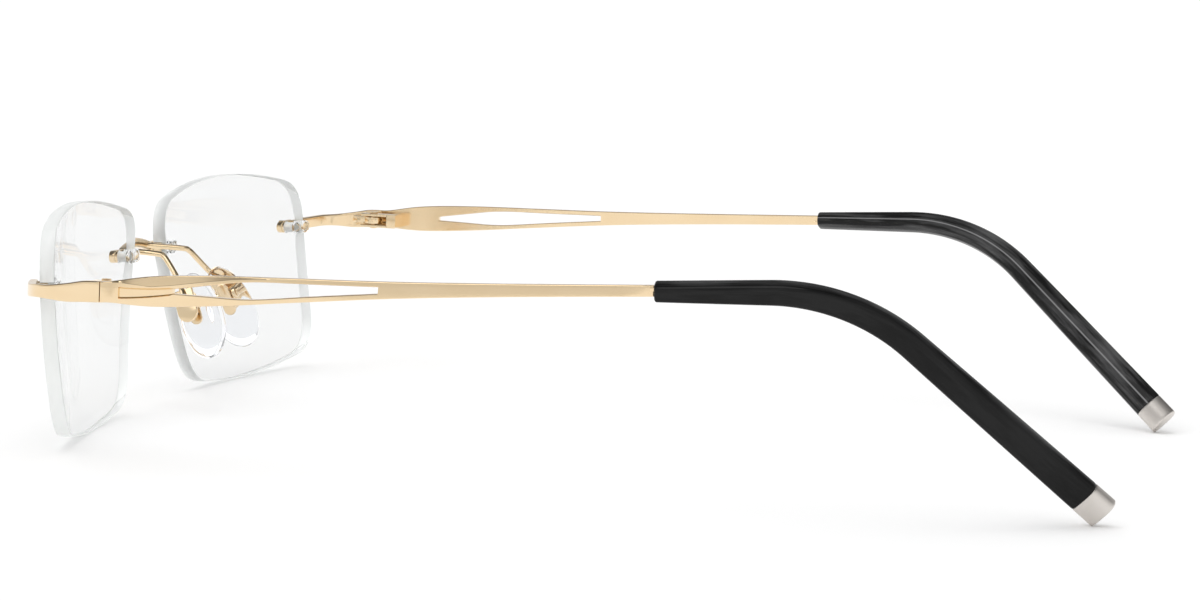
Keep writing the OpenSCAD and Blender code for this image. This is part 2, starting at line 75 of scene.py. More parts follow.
class Nodes:
    """Short calls that add shader nodes to one material and link them."""

    def __init__(self, name: str) -> None:
        """Starts a material with one Principled shader.

        Args:
            name: the material's name.
        """
        self.material = bpy.data.materials.new(name)
        self.material.use_nodes = True
        self.tree = self.material.node_tree
        self.shader = self.tree.nodes["Principled BSDF"]
        self.place = self.tree.nodes.new("ShaderNodeTexCoord").outputs["Object"]

    def set(self, **sockets: object) -> None:
        """Sets constants on the shader; an underscore in a keyword stands for a space."""
        for word, value in sockets.items():
            self.shader.inputs[word.replace("_", " ")].default_value = value

    def feed(self, socket: bpy.types.NodeSocket, value: object) -> None:
        """Links a socket to an input, or sets a constant on it."""
        if isinstance(value, bpy.types.NodeSocket):
            self.tree.links.new(value, socket)
        else:
            socket.default_value = value

    def node(self, kind: str, **inputs: object) -> bpy.types.Node:
        """Adds a node; socket values are linked and other values are set.

        Args:
            kind: the node type without its ShaderNode prefix.
            **inputs: input names (an underscore for a space) with sockets or constants.

        Returns:
            The new node.
        """
        made = self.tree.nodes.new("ShaderNode" + kind)
        for word, value in inputs.items():
            self.feed(made.inputs[word.replace("_", " ")], value)
        return made

    def stretched(self, scale: tuple[float, float, float]) -> bpy.types.NodeSocket:
        """Object coordinates, in metres, times a scale for each axis."""
        return self.node("Mapping", Vector=self.place, Scale=scale).outputs["Vector"]

    def noise(
        self, scale: tuple[float, float, float], detail: float = 3.0, rough: float = 0.55
    ) -> bpy.types.NodeSocket:
        """Noise from 0 to 1 with `scale` cells a metre along each axis."""
        made = self.node(
            "TexNoise", Vector=self.stretched(scale), Scale=1.0, Detail=detail, Roughness=rough
        )
        return made.outputs["Fac"]

    def span(
        self, value: bpy.types.NodeSocket, low: float, high: float, to: tuple[float, float]
    ) -> bpy.types.NodeSocket:
        """Carries the range low to high onto the range `to`, held at its ends."""
        made = self.node(
            "MapRange", Value=value, From_Min=low, From_Max=high, To_Min=to[0], To_Max=to[1]
        )
        return made.outputs["Result"]

    def product(
        self, value: bpy.types.NodeSocket, other: bpy.types.NodeSocket | float
    ) -> bpy.types.NodeSocket:
        """A value times another value or a constant."""
        made = self.node("Math", Value=value)
        made.operation = "MULTIPLY"
        self.feed(made.inputs[1], other)
        return made.outputs[0]

    def blend(
        self,
        value: bpy.types.NodeSocket,
        a: tuple[float, ...] | bpy.types.NodeSocket,
        b: tuple[float, ...],
    ) -> bpy.types.NodeSocket:
        """Colour a where the value is 0, colour b where it is 1."""
        made = self.tree.nodes.new("ShaderNodeMix")
        made.data_type = "RGBA"
        self.feed(made.inputs["Factor"], value)
        self.feed(made.inputs["A"], a if isinstance(a, bpy.types.NodeSocket) else (*a, 1))
        self.feed(made.inputs["B"], (*b, 1))
        return made.outputs["Result"]

    def mottle(
        self, noise: bpy.types.NodeSocket, deep: tuple[float, ...], light: tuple[float, ...]
    ) -> None:
        """Colours the surface from deep to light as the noise rises."""
        self.to("Base Color", self.blend(self.span(noise, *NOISE_RANGE, (0, 1)), deep, light))

    def roughen(self, noise: bpy.types.NodeSocket, low: float, high: float) -> None:
        """Carries the roughness from low to high as the noise rises."""
        self.to("Roughness", self.span(noise, *NOISE_RANGE, (low, high)))

    def to(self, word: str, value: bpy.types.NodeSocket) -> None:
        """Links a value to a shader input."""
        self.tree.links.new(value, self.shader.inputs[word])

    def lets_light(self, share: float) -> None:
        """Lets part of the light through to shadows, as thin clear material does.

        Args:
            share: the part of a shadow ray that passes, from 0 to 1.
        """
        shadow = self.node("LightPath").outputs["Is Shadow Ray"]
        mix = self.node("MixShader")
        parts = (
            self.product(shadow, share),
            self.shader.outputs[0],
            self.node("BsdfTransparent").outputs[0],
        )
        for socket, value in zip(mix.inputs, parts):
            self.feed(socket, value)
        self.feed(self.tree.nodes["Material Output"].inputs["Surface"], mix.outputs[0])

    def bump(self, height: bpy.types.NodeSocket, depth_mm: float, strength: float) -> None:
        """Raises the surface by a height map.

        Args:
            height: the height, from 0 to 1.
            depth_mm: the height of 1, in millimetres.
            strength: how much of the effect shows.
        """
        made = self.node("Bump", Height=height, Strength=strength, Distance=depth_mm * MM)
        self.to("Normal", made.outputs["Normal"])


@dataclass(frozen=True)
class SatinMetal:
    """Plated metal with fine brushing along the temples and faint wear."""

    name: str
    light: tuple[float, float, float]
    deep: tuple[float, float, float]
    rough: float
    brushed: float = 0.1

    def make(self) -> bpy.types.Material:
        """Builds the material."""
        n = Nodes(self.name)
        n.set(Metallic=1.0)
        n.mottle(n.noise((420, 140, 420), 4.0), self.deep, self.light)
        brush = n.noise((9000, 420, 9000), 2.0, 0.6)
        n.roughen(brush, self.rough - 0.02, self.rough + 0.03)
        n.bump(brush, 0.012, self.brushed)
        return n.material


@dataclass(frozen=True)
class ClearPlastic:
    """Clear plastic or rubber: it refracts, with a slight tint and soft skin."""

    name: str
    tint: tuple[float, float, float]
    ior: float
    rough: float
    wave: float = 0.0
    shine: float = 0.5

    def make(self) -> bpy.types.Material:
        """Builds the material."""
        n = Nodes(self.name)
        n.set(Transmission_Weight=1.0, IOR=self.ior, Specular_IOR_Level=self.shine)
        cloud = n.noise((260, 260, 260), 2.0)
        n.mottle(cloud, tuple(c * 0.985 for c in self.tint), self.tint)
        n.roughen(n.noise((1500, 1500, 1500), 2.0), self.rough, self.rough * 1.5 + 0.004)
        if self.wave:
            n.bump(cloud, self.wave, 0.35)
        n.lets_light(0.8)
        return n.material


@dataclass(frozen=True)
class GroundGlass:
    """The lens's ground edge: pale, faintly green and matt, with grinding lines."""

    name: str
    light: tuple[float, float, float]
    deep: tuple[float, float, float]

    def make(self) -> bpy.types.Material:
        """Builds the material."""
        n = Nodes(self.name)
        n.set(Transmission_Weight=0.4, IOR=1.24)
        n.mottle(n.noise((180, 700, 180), 3.0), self.deep, self.light)
        lines = n.noise((500, 9000, 500), 2.0)
        n.roughen(lines, 0.42, 0.56)
        n.bump(lines, 0.01, 0.2)
        n.lets_light(0.8)
        return n.material


@dataclass(frozen=True)
class MarbledBlack:
    """Polished black plastic with grey streaks and a painted highlight: a pale line on the inner
    ridge.

    The meshes carry inner_side, 0 on the outer face and 1 on the inner, and tip_way,
    the length along the tip and the place in its section, in metres.
    """

    name: str
    black: tuple[float, float, float]
    grey: tuple[float, float, float]
    rough: float

    def make(self) -> bpy.types.Material:
        """Builds the material."""
        n = Nodes(self.name)
        n.set(Specular_IOR_Level=0.2, IOR=1.46)
        way, inner = n.node("Attribute"), n.node("Attribute")
        way.attribute_name, inner.attribute_name = "tip_way", "inner_side"
        n.place = way.outputs["Vector"]
        streak = n.noise((120, 1400, 1400), 5.0, 0.62)
        both = n.product(streak, n.noise((60, 300, 300), 2.0))
        inward = n.span(inner.outputs["Fac"], 0.2, 0.6, (0.1, 1))
        shown = n.product(n.span(both, 0.2, 0.36, (0.05, 1)), inward)
        # painted highlight: a pale line of colour along the middle of the inner face, where the
        # ridge would catch the light
        off = n.node("Math", Value=n.node("SeparateXYZ", Vector=n.place).outputs["Z"])
        off.operation = "ABSOLUTE"
        line = n.product(
            n.span(off.outputs[0], 0.00001, 0.00005, (1, 0)),
            n.span(inner.outputs["Fac"], 0.8, 0.9, (0, 1)),
        )
        # pale is the colour of the painted highlight on the inner ridge
        pale = tuple(2.6 * c for c in self.grey)
        streaked = n.blend(shown, self.black, self.grey)
        n.to("Base Color", n.blend(line, streaked, pale))
        n.roughen(n.noise((2400, 2400, 2400), 2.0), self.rough, self.rough + 0.03)
        n.bump(streak, 0.02, 0.06)
        return n.material


@dataclass(frozen=True)
class FloorPaint:
    """Matt near-white studio floor."""

    name: str
    shade: float

    def make(self) -> bpy.types.Material:
        """Builds the material."""
        n = Nodes(self.name)
        n.set(Roughness=0.9, Specular_IOR_Level=0.0)
        cloud = n.noise((6, 6, 6), 2.0)
        low = (self.shade - 0.005,) * 3
        n.to("Base Color", n.blend(cloud, low, (self.shade,) * 3))
        return n.material


class Finish(Enum):
    """Every finish of the glasses, each with a name."""

    GOLD = "gold_metal"
    LENS = "lens"
    LENS_EDGE = "lens_edge"
    CLEAR = "clear_plastic"
    RUBBER = "silicone"
    TIP = "tip_black"
    CAP = "cap_silver"


def make_finishes() -> dict[Finish, bpy.types.Material]:
    """Builds every finish once.

    Returns:
        The material for each finish.
    """
    kinds = {
        Finish.GOLD: SatinMetal("gold_satin", (0.90, 0.71, 0.465), (0.87, 0.675, 0.43), 0.15),
        Finish.LENS: ClearPlastic("lens_clear", (0.895, 0.90, 0.90), 1.08, 0.0),
        Finish.LENS_EDGE: GroundGlass("lens_ground", (0.875, 0.885, 0.88), (0.84, 0.86, 0.85)),
        Finish.CLEAR: ClearPlastic("plug_clear", (0.95, 0.955, 0.955), 1.22, 0.03, shine=0.4),
        Finish.RUBBER: ClearPlastic("pad_clear", (0.945, 0.955, 0.975), 1.28, 0.03, 0.05),
        Finish.TIP: MarbledBlack("tip_marbled", (0.005,) * 3, (0.075, 0.075, 0.076), 0.08),
        Finish.CAP: SatinMetal("cap_satin", (0.74, 0.70, 0.66), (0.70, 0.66, 0.62), 0.4, 0.03),
    }
    return {finish: kind.make() for finish, kind in kinds.items()}


# ---------------------------------------------------------------- geometry


def unit(v: np.ndarray) -> np.ndarray:
    """Each row divided by its length."""
    v = np.asarray(v, float)
    return v / np.linalg.norm(v, axis=-1, keepdims=True)


def turned(axis: int, degrees: float) -> np.ndarray:
    """Rotation matrix about X (0), Y (1) or Z (2)."""
    a = math.radians(degrees)
    i, j = ((1, 2), (2, 0), (0, 1))[axis]
    m = np.eye(3)
    m[i, i] = m[j, j] = math.cos(a)
    m[j, i], m[i, j] = math.sin(a), -math.sin(a)
    return m


def smooth_curve(points: np.ndarray, steps: int) -> np.ndarray:
    """A smooth curve through the points.

    Between two neighbours it is the cubic whose slope at each of them is half the step
    between the points beside it.

    Args:
        points: (k, d) points in order.
        steps: places between neighbours.

    Returns:
        The ((k - 1) * steps + 1, d) points of the curve.
    """
    p = np.asarray(points, float)
    wide = np.vstack([p[:1], p, p[-1:]])
    a, b, c, d = (wide[i : len(p) - 1 + i, None, :] for i in range(4))
    t = (np.arange(steps) / steps)[None, :, None]
    q = b + 0.5 * t * (c - a + t * (2 * a - 5 * b + 4 * c - d + t * (3 * (b - c) + d - a)))
    return np.vstack([q.reshape(-1, p.shape[1]), p[-1:]])


def round_box(w: np.ndarray, h: np.ndarray, n: int, power: float) -> np.ndarray:
    """Superellipse rings.

    Across is w/2 times the cosine raised to the power, and up is h/2 times the sine
    raised to it, with their signs kept.

    Args:
        w: (m,) widths.
        h: (m,) heights.
        n: points in a ring.
        power: 1 for an ellipse, near 0 for a rectangle.

    Returns:
        (m, n, 2) rings.
    """
    a = 2 * np.pi * (np.arange(n) + 0.5) / n
    c = np.sign(np.cos(a)) * np.abs(np.cos(a)) ** power / 2
    s = np.sign(np.sin(a)) * np.abs(np.sin(a)) ** power / 2
    w, h = np.atleast_1d(w), np.atleast_1d(h)
    return np.stack([w[:, None] * c, h[:, None] * s], -1)


def corner_box(w: np.ndarray, h: np.ndarray, r: float, arc: int, flat: int) -> np.ndarray:
    """Rectangular rings with quarter-circle corners of radius r.

    Args:
        w: (m,) widths.
        h: (m,) heights.
        r: the corner radius, cut to fit small rings.
        arc: steps in each corner.
        flat: steps in each side.

    Returns:
        (m, 4 * (arc + flat), 2) rings.
    """
    w, h = np.atleast_1d(w)[:, None], np.atleast_1d(h)[:, None]
    rr = np.minimum(r, 0.49 * np.minimum(w, h))
    parts = []
    for k, (sx, sy) in enumerate(((1, 1), (-1, 1), (-1, -1), (1, -1))):
        a = np.pi / 2 * (k + np.arange(arc + 1) / arc)[None, :]
        x, y = sx * (w / 2 - rr) + rr * np.cos(a), sy * (h / 2 - rr) + rr * np.sin(a)
        parts.append(np.stack([x, y], -1))
    rings = []
    for k in range(4):
        rings.append(parts[k])
        t = (np.arange(1, flat) / flat)[None, :, None]
        a, b = parts[k][:, -1:], parts[(k + 1) % 4][:, :1]
        rings.append(a + (b - a) * t)
    return np.concatenate(rings, 1)


def inset(outline: np.ndarray, d: float) -> np.ndarray:
    """A closed outline moved inwards by d along the mean of each corner's two edge normals."""
    back = unit(outline - np.roll(outline, 1, 0))
    ahead = np.roll(back, -1, 0)
    na = np.stack([back[:, 1], -back[:, 0]], -1)
    nb = np.stack([ahead[:, 1], -ahead[:, 0]], -1)
    turn = 1 + np.maximum((na * nb).sum(-1, keepdims=True), -0.5)
    return outline - d * (na + nb) / turn


def circle(r: float, n: int, centre: tuple[float, float] = (0, 0)) -> np.ndarray:
    """A circle of n points, anticlockwise."""
    a = 2 * np.pi * np.arange(n) / n
    return np.stack([centre[0] + r * np.cos(a), centre[1] + r * np.sin(a)], -1)


def rect(x0: float, x1: float, y0: float, y1: float) -> np.ndarray:
    """A rectangle's corners, anticlockwise."""
    return np.array([[x0, y0], [x1, y0], [x1, y1], [x0, y1]], float)


def arc_points(
    centre: tuple[float, float], r: float, start: float, end: float, n: int
) -> np.ndarray:
    """Points of an arc from angle start to angle end, in degrees."""
    a = np.radians(np.linspace(start, end, n))
    return np.stack([centre[0] + r * np.cos(a), centre[1] + r * np.sin(a)], -1)


def stadium(x0: float, x1: float, r: float, n: int = 14) -> np.ndarray:
    """A rectangle with round ends about x0 and x1."""
    return np.vstack([arc_points((x1, 0), r, -90, 90, n), arc_points((x0, 0), r, 90, 270, n)])


def ring_quads(m: int, n: int) -> np.ndarray:
    """The quads between m closed rings of n points, counted ring by ring."""
    i, k = np.meshgrid(np.arange(m - 1), np.arange(n), indexing="ij")
    j = (k + 1) % n
    quads = np.stack([i * n + k, (i + 1) * n + k, (i + 1) * n + j, i * n + j], -1)
    return quads.reshape(-1, 4)


def face_outwards(mesh: bpy.types.Mesh, sharp: float, merge: bool = False) -> None:
    """Turns a mesh's faces outwards and marks its crisp edges.

    Args:
        mesh: the mesh.
        sharp: angle in degrees above which an edge stays crisp.
        merge: True to join points that coincide first.
    """
    work = bmesh.new()
    work.from_mesh(mesh)
    if merge:
        bmesh.ops.remove_doubles(work, verts=work.verts, dist=1e-7)
    bmesh.ops.recalc_face_normals(work, faces=work.faces)
    work.to_mesh(mesh)
    work.free()
    mesh.polygons.foreach_set("use_smooth", np.ones(len(mesh.polygons), bool))
    mesh.set_sharp_from_angle(angle=math.radians(sharp))


@dataclass(frozen=True)
class Axes:
    """A local frame: an origin and three unit axes, as the rows of a matrix."""

    origin: np.ndarray
    rows: np.ndarray

    def put(self, x: np.ndarray, y: np.ndarray, z: np.ndarray) -> np.ndarray:
        """Local coordinates as points of the row frame."""
        local = np.stack(np.broadcast_arrays(x, y, z), -1)
        return self.origin + local @ self.rows


@dataclass
class Shell:
    """Points in millimetres and the faces between them, gathered piece by piece."""

    points: list[np.ndarray] = field(default_factory=list)
    faces: list[list[int]] = field(default_factory=list)
    marks: list[int] = field(default_factory=list)
    count: int = 0

    def add(self, points: np.ndarray, faces: list, mark: int = 0) -> None:
        """Adds points and faces that count from these points.

        Args:
            points: (n, 3) points.
            faces: arrays or lists of vertex numbers.
            mark: which of the piece's finishes the faces take.
        """
        for group in faces:
            rows = (np.asarray(group) + self.count).reshape(len(group), -1).tolist()
            self.faces.extend(rows)
            self.marks.extend([mark] * len(rows))
        self.points.append(np.asarray(points, float).reshape(-1, 3))
        self.count += len(self.points[-1])

    def tube(self, grid: np.ndarray, mark: int = 0) -> None:
        """Adds closed rings joined in a tube, each end closed by one flat face.

        Args:
            grid: (m, n, 3) ring points.
            mark: the finish.
        """
        m, n, _ = grid.shape
        ends = [np.arange(n)[None, :], np.arange(m * n - 1, m * n - n - 1, -1)[None, :]]
        self.add(grid, [ring_quads(m, n), *ends], mark)

    def join(self, other: "Shell", way: int) -> None:
        """Adds another shell, mirrored in X when way is -1."""
        self.points += [p * [way, 1, 1] for p in other.points]
        self.faces += [[a + self.count for a in f] for f in other.faces]
        self.marks += other.marks
        self.count += other.count

    def slab(self, axes: Axes, outline: np.ndarray, low: float, high: float, r: float) -> None:
        """Adds an outline in the frame's X and Z, carried along its Y, with rounded rims.

        Each rim is a quarter circle of radius r: going in by r(1 - sin) while rising r(1 - cos).

        Args:
            axes: the local frame.
            outline: (n, 2) points (X, Z).
            low: start along Y.
            high: end along Y.
            r: rim radius.
        """
        side = r * (1 - np.sin(RIM_ANGLES))
        rise = r * (1 - np.cos(RIM_ANGLES))
        ins = np.concatenate([side, side[::-1]])
        at = np.concatenate([low + rise, high - rise[::-1]])
        rings = np.stack([inset(outline, d) for d in ins])
        self.tube(axes.put(rings[..., 0], at[:, None], rings[..., 1]))

    def object(
        self,
        name: str,
        side: Side | None,
        finishes: list[bpy.types.Material],
        sharp: float = 40.0,
    ) -> bpy.types.Object:
        """Makes the mesh object, mirrored for the right side, with outward faces.

        Args:
            name: the piece's name.
            side: LEFT as built, RIGHT mirrored, None for a piece in the middle.
            finishes: materials in the order of the face marks.
            sharp: angle in degrees above which an edge stays crisp.

        Returns:
            The object, at the origin and unscaled.
        """
        points = np.vstack(self.points) * MM
        if side is Side.RIGHT:
            points = points * [-1, 1, 1]
        mesh = bpy.data.meshes.new(name)
        mesh.from_pydata(points.tolist(), [], self.faces)
        mesh.polygons.foreach_set("material_index", np.array(self.marks, np.int32))
        face_outwards(mesh, sharp)
        for finish in finishes:
            mesh.materials.append(finish)
        mesh.update()
        made = bpy.data.objects.new(name, mesh)
        bpy.context.scene.collection.objects.link(made)
        return made


def carried(path: np.ndarray, side: np.ndarray, up: np.ndarray, rings: np.ndarray) -> np.ndarray:
    """Rings carried along a path: the path's point, plus across times side, plus height times up.

    Args:
        path: (m, 3) middle line.
        side: (m, 3) axis for the rings' first coordinate.
        up: (m, 3) axis for their second.
        rings: (m, n, 2) cross-sections.

    Returns:
        (m, n, 3) points.
    """
    return path[:, None] + rings[..., :1] * side[:, None] + rings[..., 1:] * up[:, None]


def end_rounding(length: float, r: float, steps: int, middle: int) -> tuple[np.ndarray, np.ndarray]:
    """Places along a bar with both ends rounded by a quarter circle of radius r.

    Args:
        length: the bar's length.
        r: the rounding's radius.
        steps: rings in each rounding.
        middle: rings between them.

    Returns:
        Places along the bar, and how far each section is drawn in.
    """
    phi = np.linspace(0, np.pi / 2, steps + 1)
    rise, draw = r * (1 - np.cos(phi)), r * (1 - np.sin(phi))
    inner = np.linspace(r, length - r, middle + 2)[1:-1]
    places = np.concatenate([rise, inner, length - rise[::-1]])
    return places, np.concatenate([draw, np.zeros(middle), draw[::-1]])


def dress(
    piece: bpy.types.Object, body: str, slot: Finish, *nodes: str, padded: bool = False
) -> None:
    """Rides a piece on its body, hides the CAD nodes it stands for and logs it.

    Args:
        piece: the object.
        body: the CAD body it moves with.
        slot: its finish; not used.
        *nodes: CAD nodes it stands for.
        padded: True for a soft pad; not used.
    """
    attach(piece, body)
    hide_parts(*nodes)
    log.info("%s rides on %s, %d faces", piece.name, body, len(piece.data.polygons))


@dataclass
class Assembly:
    """A sub-assembly, which knows the finishes and turns shells into dressed pieces."""

    finishes: dict[Finish, bpy.types.Material]

    def gold(
        self, shell: Shell, name: str, side: Side, body: str, node: str, sharp: float = 40.0
    ) -> None:
        """Makes and dresses one gold piece of a side.

        Args:
            shell: its points and faces.
            name: the piece's name, without its side.
            side: which side.
            body: the CAD body, without its side; the front has none.
            node: the CAD node it stands for, without its side.
            sharp: angle in degrees above which an edge stays crisp.
        """
        made = shell.object(f"{name}_{side.word}", side, [self.finishes[Finish.GOLD]], sharp)
        on = body if body == "front" else f"{body}_{side.word}"
        dress(made, on, Finish.GOLD, f"{node}_{side.word}")


# ---------------------------------------------------------------- lenses and mounts


@dataclass
class LensShape:
    """The left lens's outline, curve and place, with its two drilled mounts."""

    corners: tuple = ((23.4, 13.7), (-29.0, 12.8), (-19.0, -13.9), (24.6, -12.6))
    bows: tuple = (3.3, 0.55, 2.15, 0.7)
    corner_cut: float = 5.0
    thickness: float = 2.0
    radius: float = 150.0
    wrap: float = 7.6
    tilt: float = 6.3
    centre: tuple = (34.6, -70.9, 15.48)
    temple_u: float = 22.8
    nose_u: float = -25.7
    mount_v: float = 6.8
    pitch: float = 2.4
    hole_r: float = 0.8

    @property
    def axes(self) -> Axes:
        """The lens plane: X across, Y back, Z up."""
        rows = (turned(2, self.wrap) @ turned(0, self.tilt)).T
        return Axes(np.array(self.centre), rows)

    def mount(self, u: float) -> Axes:
        """The frame of a mount at u: Y is square to the glass, and 0 is the back surface."""
        across, up = (math.degrees(math.asin(d / self.radius)) for d in (u, self.mount_v))
        local = turned(2, across) @ turned(0, -up)
        rows = self.axes.rows
        place = np.array([0, self.radius, 0]) + local @ np.array([0, -self.radius, 0])
        return Axes(self.axes.origin + place @ rows, local.T @ rows)

    def edge(self, i: int, t: np.ndarray) -> np.ndarray:
        """Edge i: a straight line plus a parabola of height bow, square to it."""
        a, b = np.array(self.corners[i]), np.array(self.corners[(i + 1) % 4])
        d = unit(b - a)
        t = t[:, None]
        return a + (b - a) * t + np.array([d[1], -d[0]]) * 4 * self.bows[i] * t * (1 - t)

    def outline(self, steps: int = 40, round_steps: int = 14) -> np.ndarray:
        """The closed outline: four edges joined by three-point curves at the corners.

        Args:
            steps: places along each edge.
            round_steps: places round each corner.

        Returns:
            (n, 2) points (u, v), anticlockwise from the front.
        """
        parts = []
        corners = np.array(self.corners)
        lengths = np.linalg.norm(np.roll(corners, -1, 0) - corners, axis=1)
        for i in range(4):
            j = (i + 1) % 4
            t0, t1 = self.corner_cut / lengths[i], self.corner_cut / lengths[j]
            parts.append(self.edge(i, np.linspace(t0, 1 - t0, steps)))
            a = self.edge(i, np.array([1 - t0]))
            b = self.edge(j, np.array([t1]))
            c = corners[j]
            t = (np.arange(1, round_steps) / round_steps)[:, None]
            parts.append((1 - t) ** 2 * a + 2 * t * (1 - t) * c + t**2 * b)
        return np.vstack(parts)


SHAPE = LensShape()


@dataclass
class Lenses(Assembly):
    """Both drilled lenses, with curved faces and a ground, bevelled edge."""

    shape: LensShape = field(default_factory=lambda: SHAPE)
    bevel: float = 0.14
    cell: float = 1.5
    mouth_gap: float = 0.32
    rim_gap: float = 0.4
    slide_reach: float = 3.5
    slide_fade: float = 2.5

    def notched(self, outline: np.ndarray, way: int, centre: np.ndarray) -> np.ndarray:
        """Cuts the edge notch into the outline: a half circle round the post, open to the edge.

        Args:
            outline: (n, 2) closed outline.
            way: 1 on the temple side, -1 on the nose side.
            centre: the post's (u, v).

        Returns:
            The outline with the notch.
        """
        r = self.shape.hole_r
        u, v = outline[:, 0], outline[:, 1]
        inside = (np.abs(v - centre[1]) < r) & (u * way > centre[0] * way)
        cut = np.flatnonzero(inside)
        if cut[0] == 0 and cut[-1] == len(outline) - 1:
            gap = np.flatnonzero(np.diff(cut) > 1)[0]
            first, last = cut[gap + 1], cut[gap]
        else:
            first, last = cut[0], cut[-1]
        n = len(outline)
        before, after = outline[first - 1], outline[(last + 1) % n]
        start = 1 if before[1] > after[1] else -1

        def crossing(p: np.ndarray, q: np.ndarray, level: float) -> np.ndarray:
            """Where the line from p to q reaches the level."""
            return p + (q - p) * (level - p[1]) / (q[1] - p[1])

        mouth = (
            crossing(before, outline[first], centre[1] + start * r),
            crossing(outline[last], after, centre[1] - start * r),
        )
        a = np.radians(90 * start + np.linspace(0, 180 * start * way, 17))
        bow = centre + r * np.stack([np.cos(a), np.sin(a)], -1)
        free = nearest(bow, np.array(mouth)) > self.mouth_gap
        notch = np.vstack([mouth[0], bow[free], mouth[1]])
        kept = np.roll(outline, -(last + 1), 0)[: n - (last - first) % n - 1]
        clear = nearest(kept, notch[[0, -1]]) > self.rim_gap
        return np.vstack([kept[clear], notch])

    def build(self, side: Side) -> bpy.types.Object:
        """Builds one lens.

        Both faces are spheres about one centre behind the lens: the back one of the
        lens radius, the front one thicker by the lens thickness. Near a mount the
        front points slide outwards in the ratio of the radii, so each bore is square
        to the glass.

        Args:
            side: which lens.

        Returns:
            The lens object.
        """
        s, r = self.shape, self.shape.hole_r
        v = s.mount_v
        holes = [(s.temple_u, 1), (s.nose_u, -1)]
        rim = s.outline()
        bores = []
        posts = []
        for u, way in holes:
            outer, inner = (np.array([u + end * way * s.pitch / 2, v]) for end in (1, -1))
            rim = self.notched(rim, way, outer)
            bores.append(circle(r, 28, tuple(inner))[::-1])
            posts += [outer, inner]
        loops = [rim, *bores]
        faces_in = [inset(loop, self.bevel) for loop in loops]
        flat, tris = self.fill(faces_in)
        shell = Shell()
        gap = np.min([np.linalg.norm(flat - p, axis=-1) for p in posts], axis=0)
        front = self.place(self.slid(flat, gap), s.radius + s.thickness)
        back = self.place(flat, s.radius)
        shell.add(front, [tris])
        shell.add(back, [tris])
        for loop, start in zip(faces_in, np.cumsum([0] + [len(f) for f in faces_in])):
            n = len(loop)
            ring_front, ring_back = front[start : start + n], back[start : start + n]
            thick = unit(ring_back - ring_front)
            out = inset(loop, -self.bevel) - loop
            drift = np.stack([out[:, 0], 0 * out[:, 0], out[:, 1]], -1) @ s.axes.rows
            grid = np.stack(
                [
                    ring_front,
                    ring_front + drift * 0.7 + thick * self.bevel * 0.3,
                    ring_front + drift + thick * self.bevel,
                    ring_back + drift - thick * self.bevel,
                    ring_back + drift * 0.7 - thick * self.bevel * 0.3,
                    ring_back,
                ]
            )
            shell.add(grid, [ring_quads(len(grid), n)], 1)
        finishes = [self.finishes[f] for f in (Finish.LENS, Finish.LENS_EDGE)]
        made = shell.object(f"drilled_lens_{side.word}", side, finishes)
        face_outwards(made.data, 25, merge=True)
        return made

    def slid(self, flat: np.ndarray, gap: np.ndarray) -> np.ndarray:
        """Points moved outwards by the ratio of the radii near a post, fading out further away."""
        near = np.clip((self.slide_reach - gap) / self.slide_fade, 0, 1)
        near = near * near * (3 - 2 * near)
        return flat * (1 + self.shape.thickness / self.shape.radius * near)[:, None]

    def place(self, flat: np.ndarray, radius: float) -> np.ndarray:
        """Points (u, v) on a sphere of that radius about the lens's centre of curvature."""
        deep = self.shape.radius - np.sqrt(radius**2 - (flat**2).sum(-1))
        return self.shape.axes.put(flat[:, 0], deep, flat[:, 1])

    def fill(self, loops: list[np.ndarray]) -> tuple[np.ndarray, np.ndarray]:
        """Fills the area between the outline and the bores with even triangles.

        Args:
            loops: the outline, then the bores.

        Returns:
            (n, 2) points, the loops' first and in order, and (m, 3) triangles.
        """
        edge_points = np.vstack(loops)
        low, high = edge_points.min(0), edge_points.max(0)
        u, v = np.meshgrid(
            np.arange(low[0], high[0], self.cell), np.arange(low[1], high[1], self.cell)
        )
        inner = np.stack([u.ravel(), v.ravel()], -1)
        inner = inner[within_glass(inner, loops)]
        inner = inner[nearest(inner, edge_points) > 0.45 * self.cell]
        points = np.vstack([edge_points, inner])
        edges, start = [], 0
        for loop in loops:
            n = len(loop)
            k = np.arange(n)
            edges += np.stack([start + k, start + (k + 1) % n], -1).tolist()
            start += n
        verts, _, faces, *_ = delaunay_2d_cdt(
            [Vector(p) for p in points.tolist()], edges, [], 0, 1e-7
        )
        if len(verts) != len(points):
            raise ValueError("the lens outline crosses itself")
        tris = np.array([list(f) for f in faces])
        return points, tris[within_glass(points[tris].mean(1), loops)]

    def make(self) -> None:
        """Builds and dresses both lenses."""
        for side in Side:
            dress(self.build(side), "front", Finish.LENS, f"lens_{side.word}")


def nearest(points: np.ndarray, others: np.ndarray) -> np.ndarray:
    """Each point's distance to the nearest of the others."""
    return np.min(np.linalg.norm(points[:, None] - others[None], axis=-1), 1)


def within(points: np.ndarray, loop: np.ndarray) -> np.ndarray:
    """Which points lie in a closed loop: a ray to the right crosses it an odd number of times."""
    a, b = loop, np.roll(loop, -1, 0)
    x, y = points[:, :1], points[:, 1:]
    spans = (a[:, 1] > y) != (b[:, 1] > y)
    rise = np.where(b[:, 1] == a[:, 1], 1e-12, b[:, 1] - a[:, 1])
    cross = a[:, 0] + (y - a[:, 1]) / rise * (b[:, 0] - a[:, 0])
    return (spans & (x < cross)).sum(1) % 2 == 1


def within_glass(points: np.ndarray, loops: list[np.ndarray]) -> np.ndarray:
    """Which points lie in the first loop and in none of the others."""
    outline, *bores = (within(points, loop) for loop in loops)
    return outline & ~np.any(bores, axis=0)


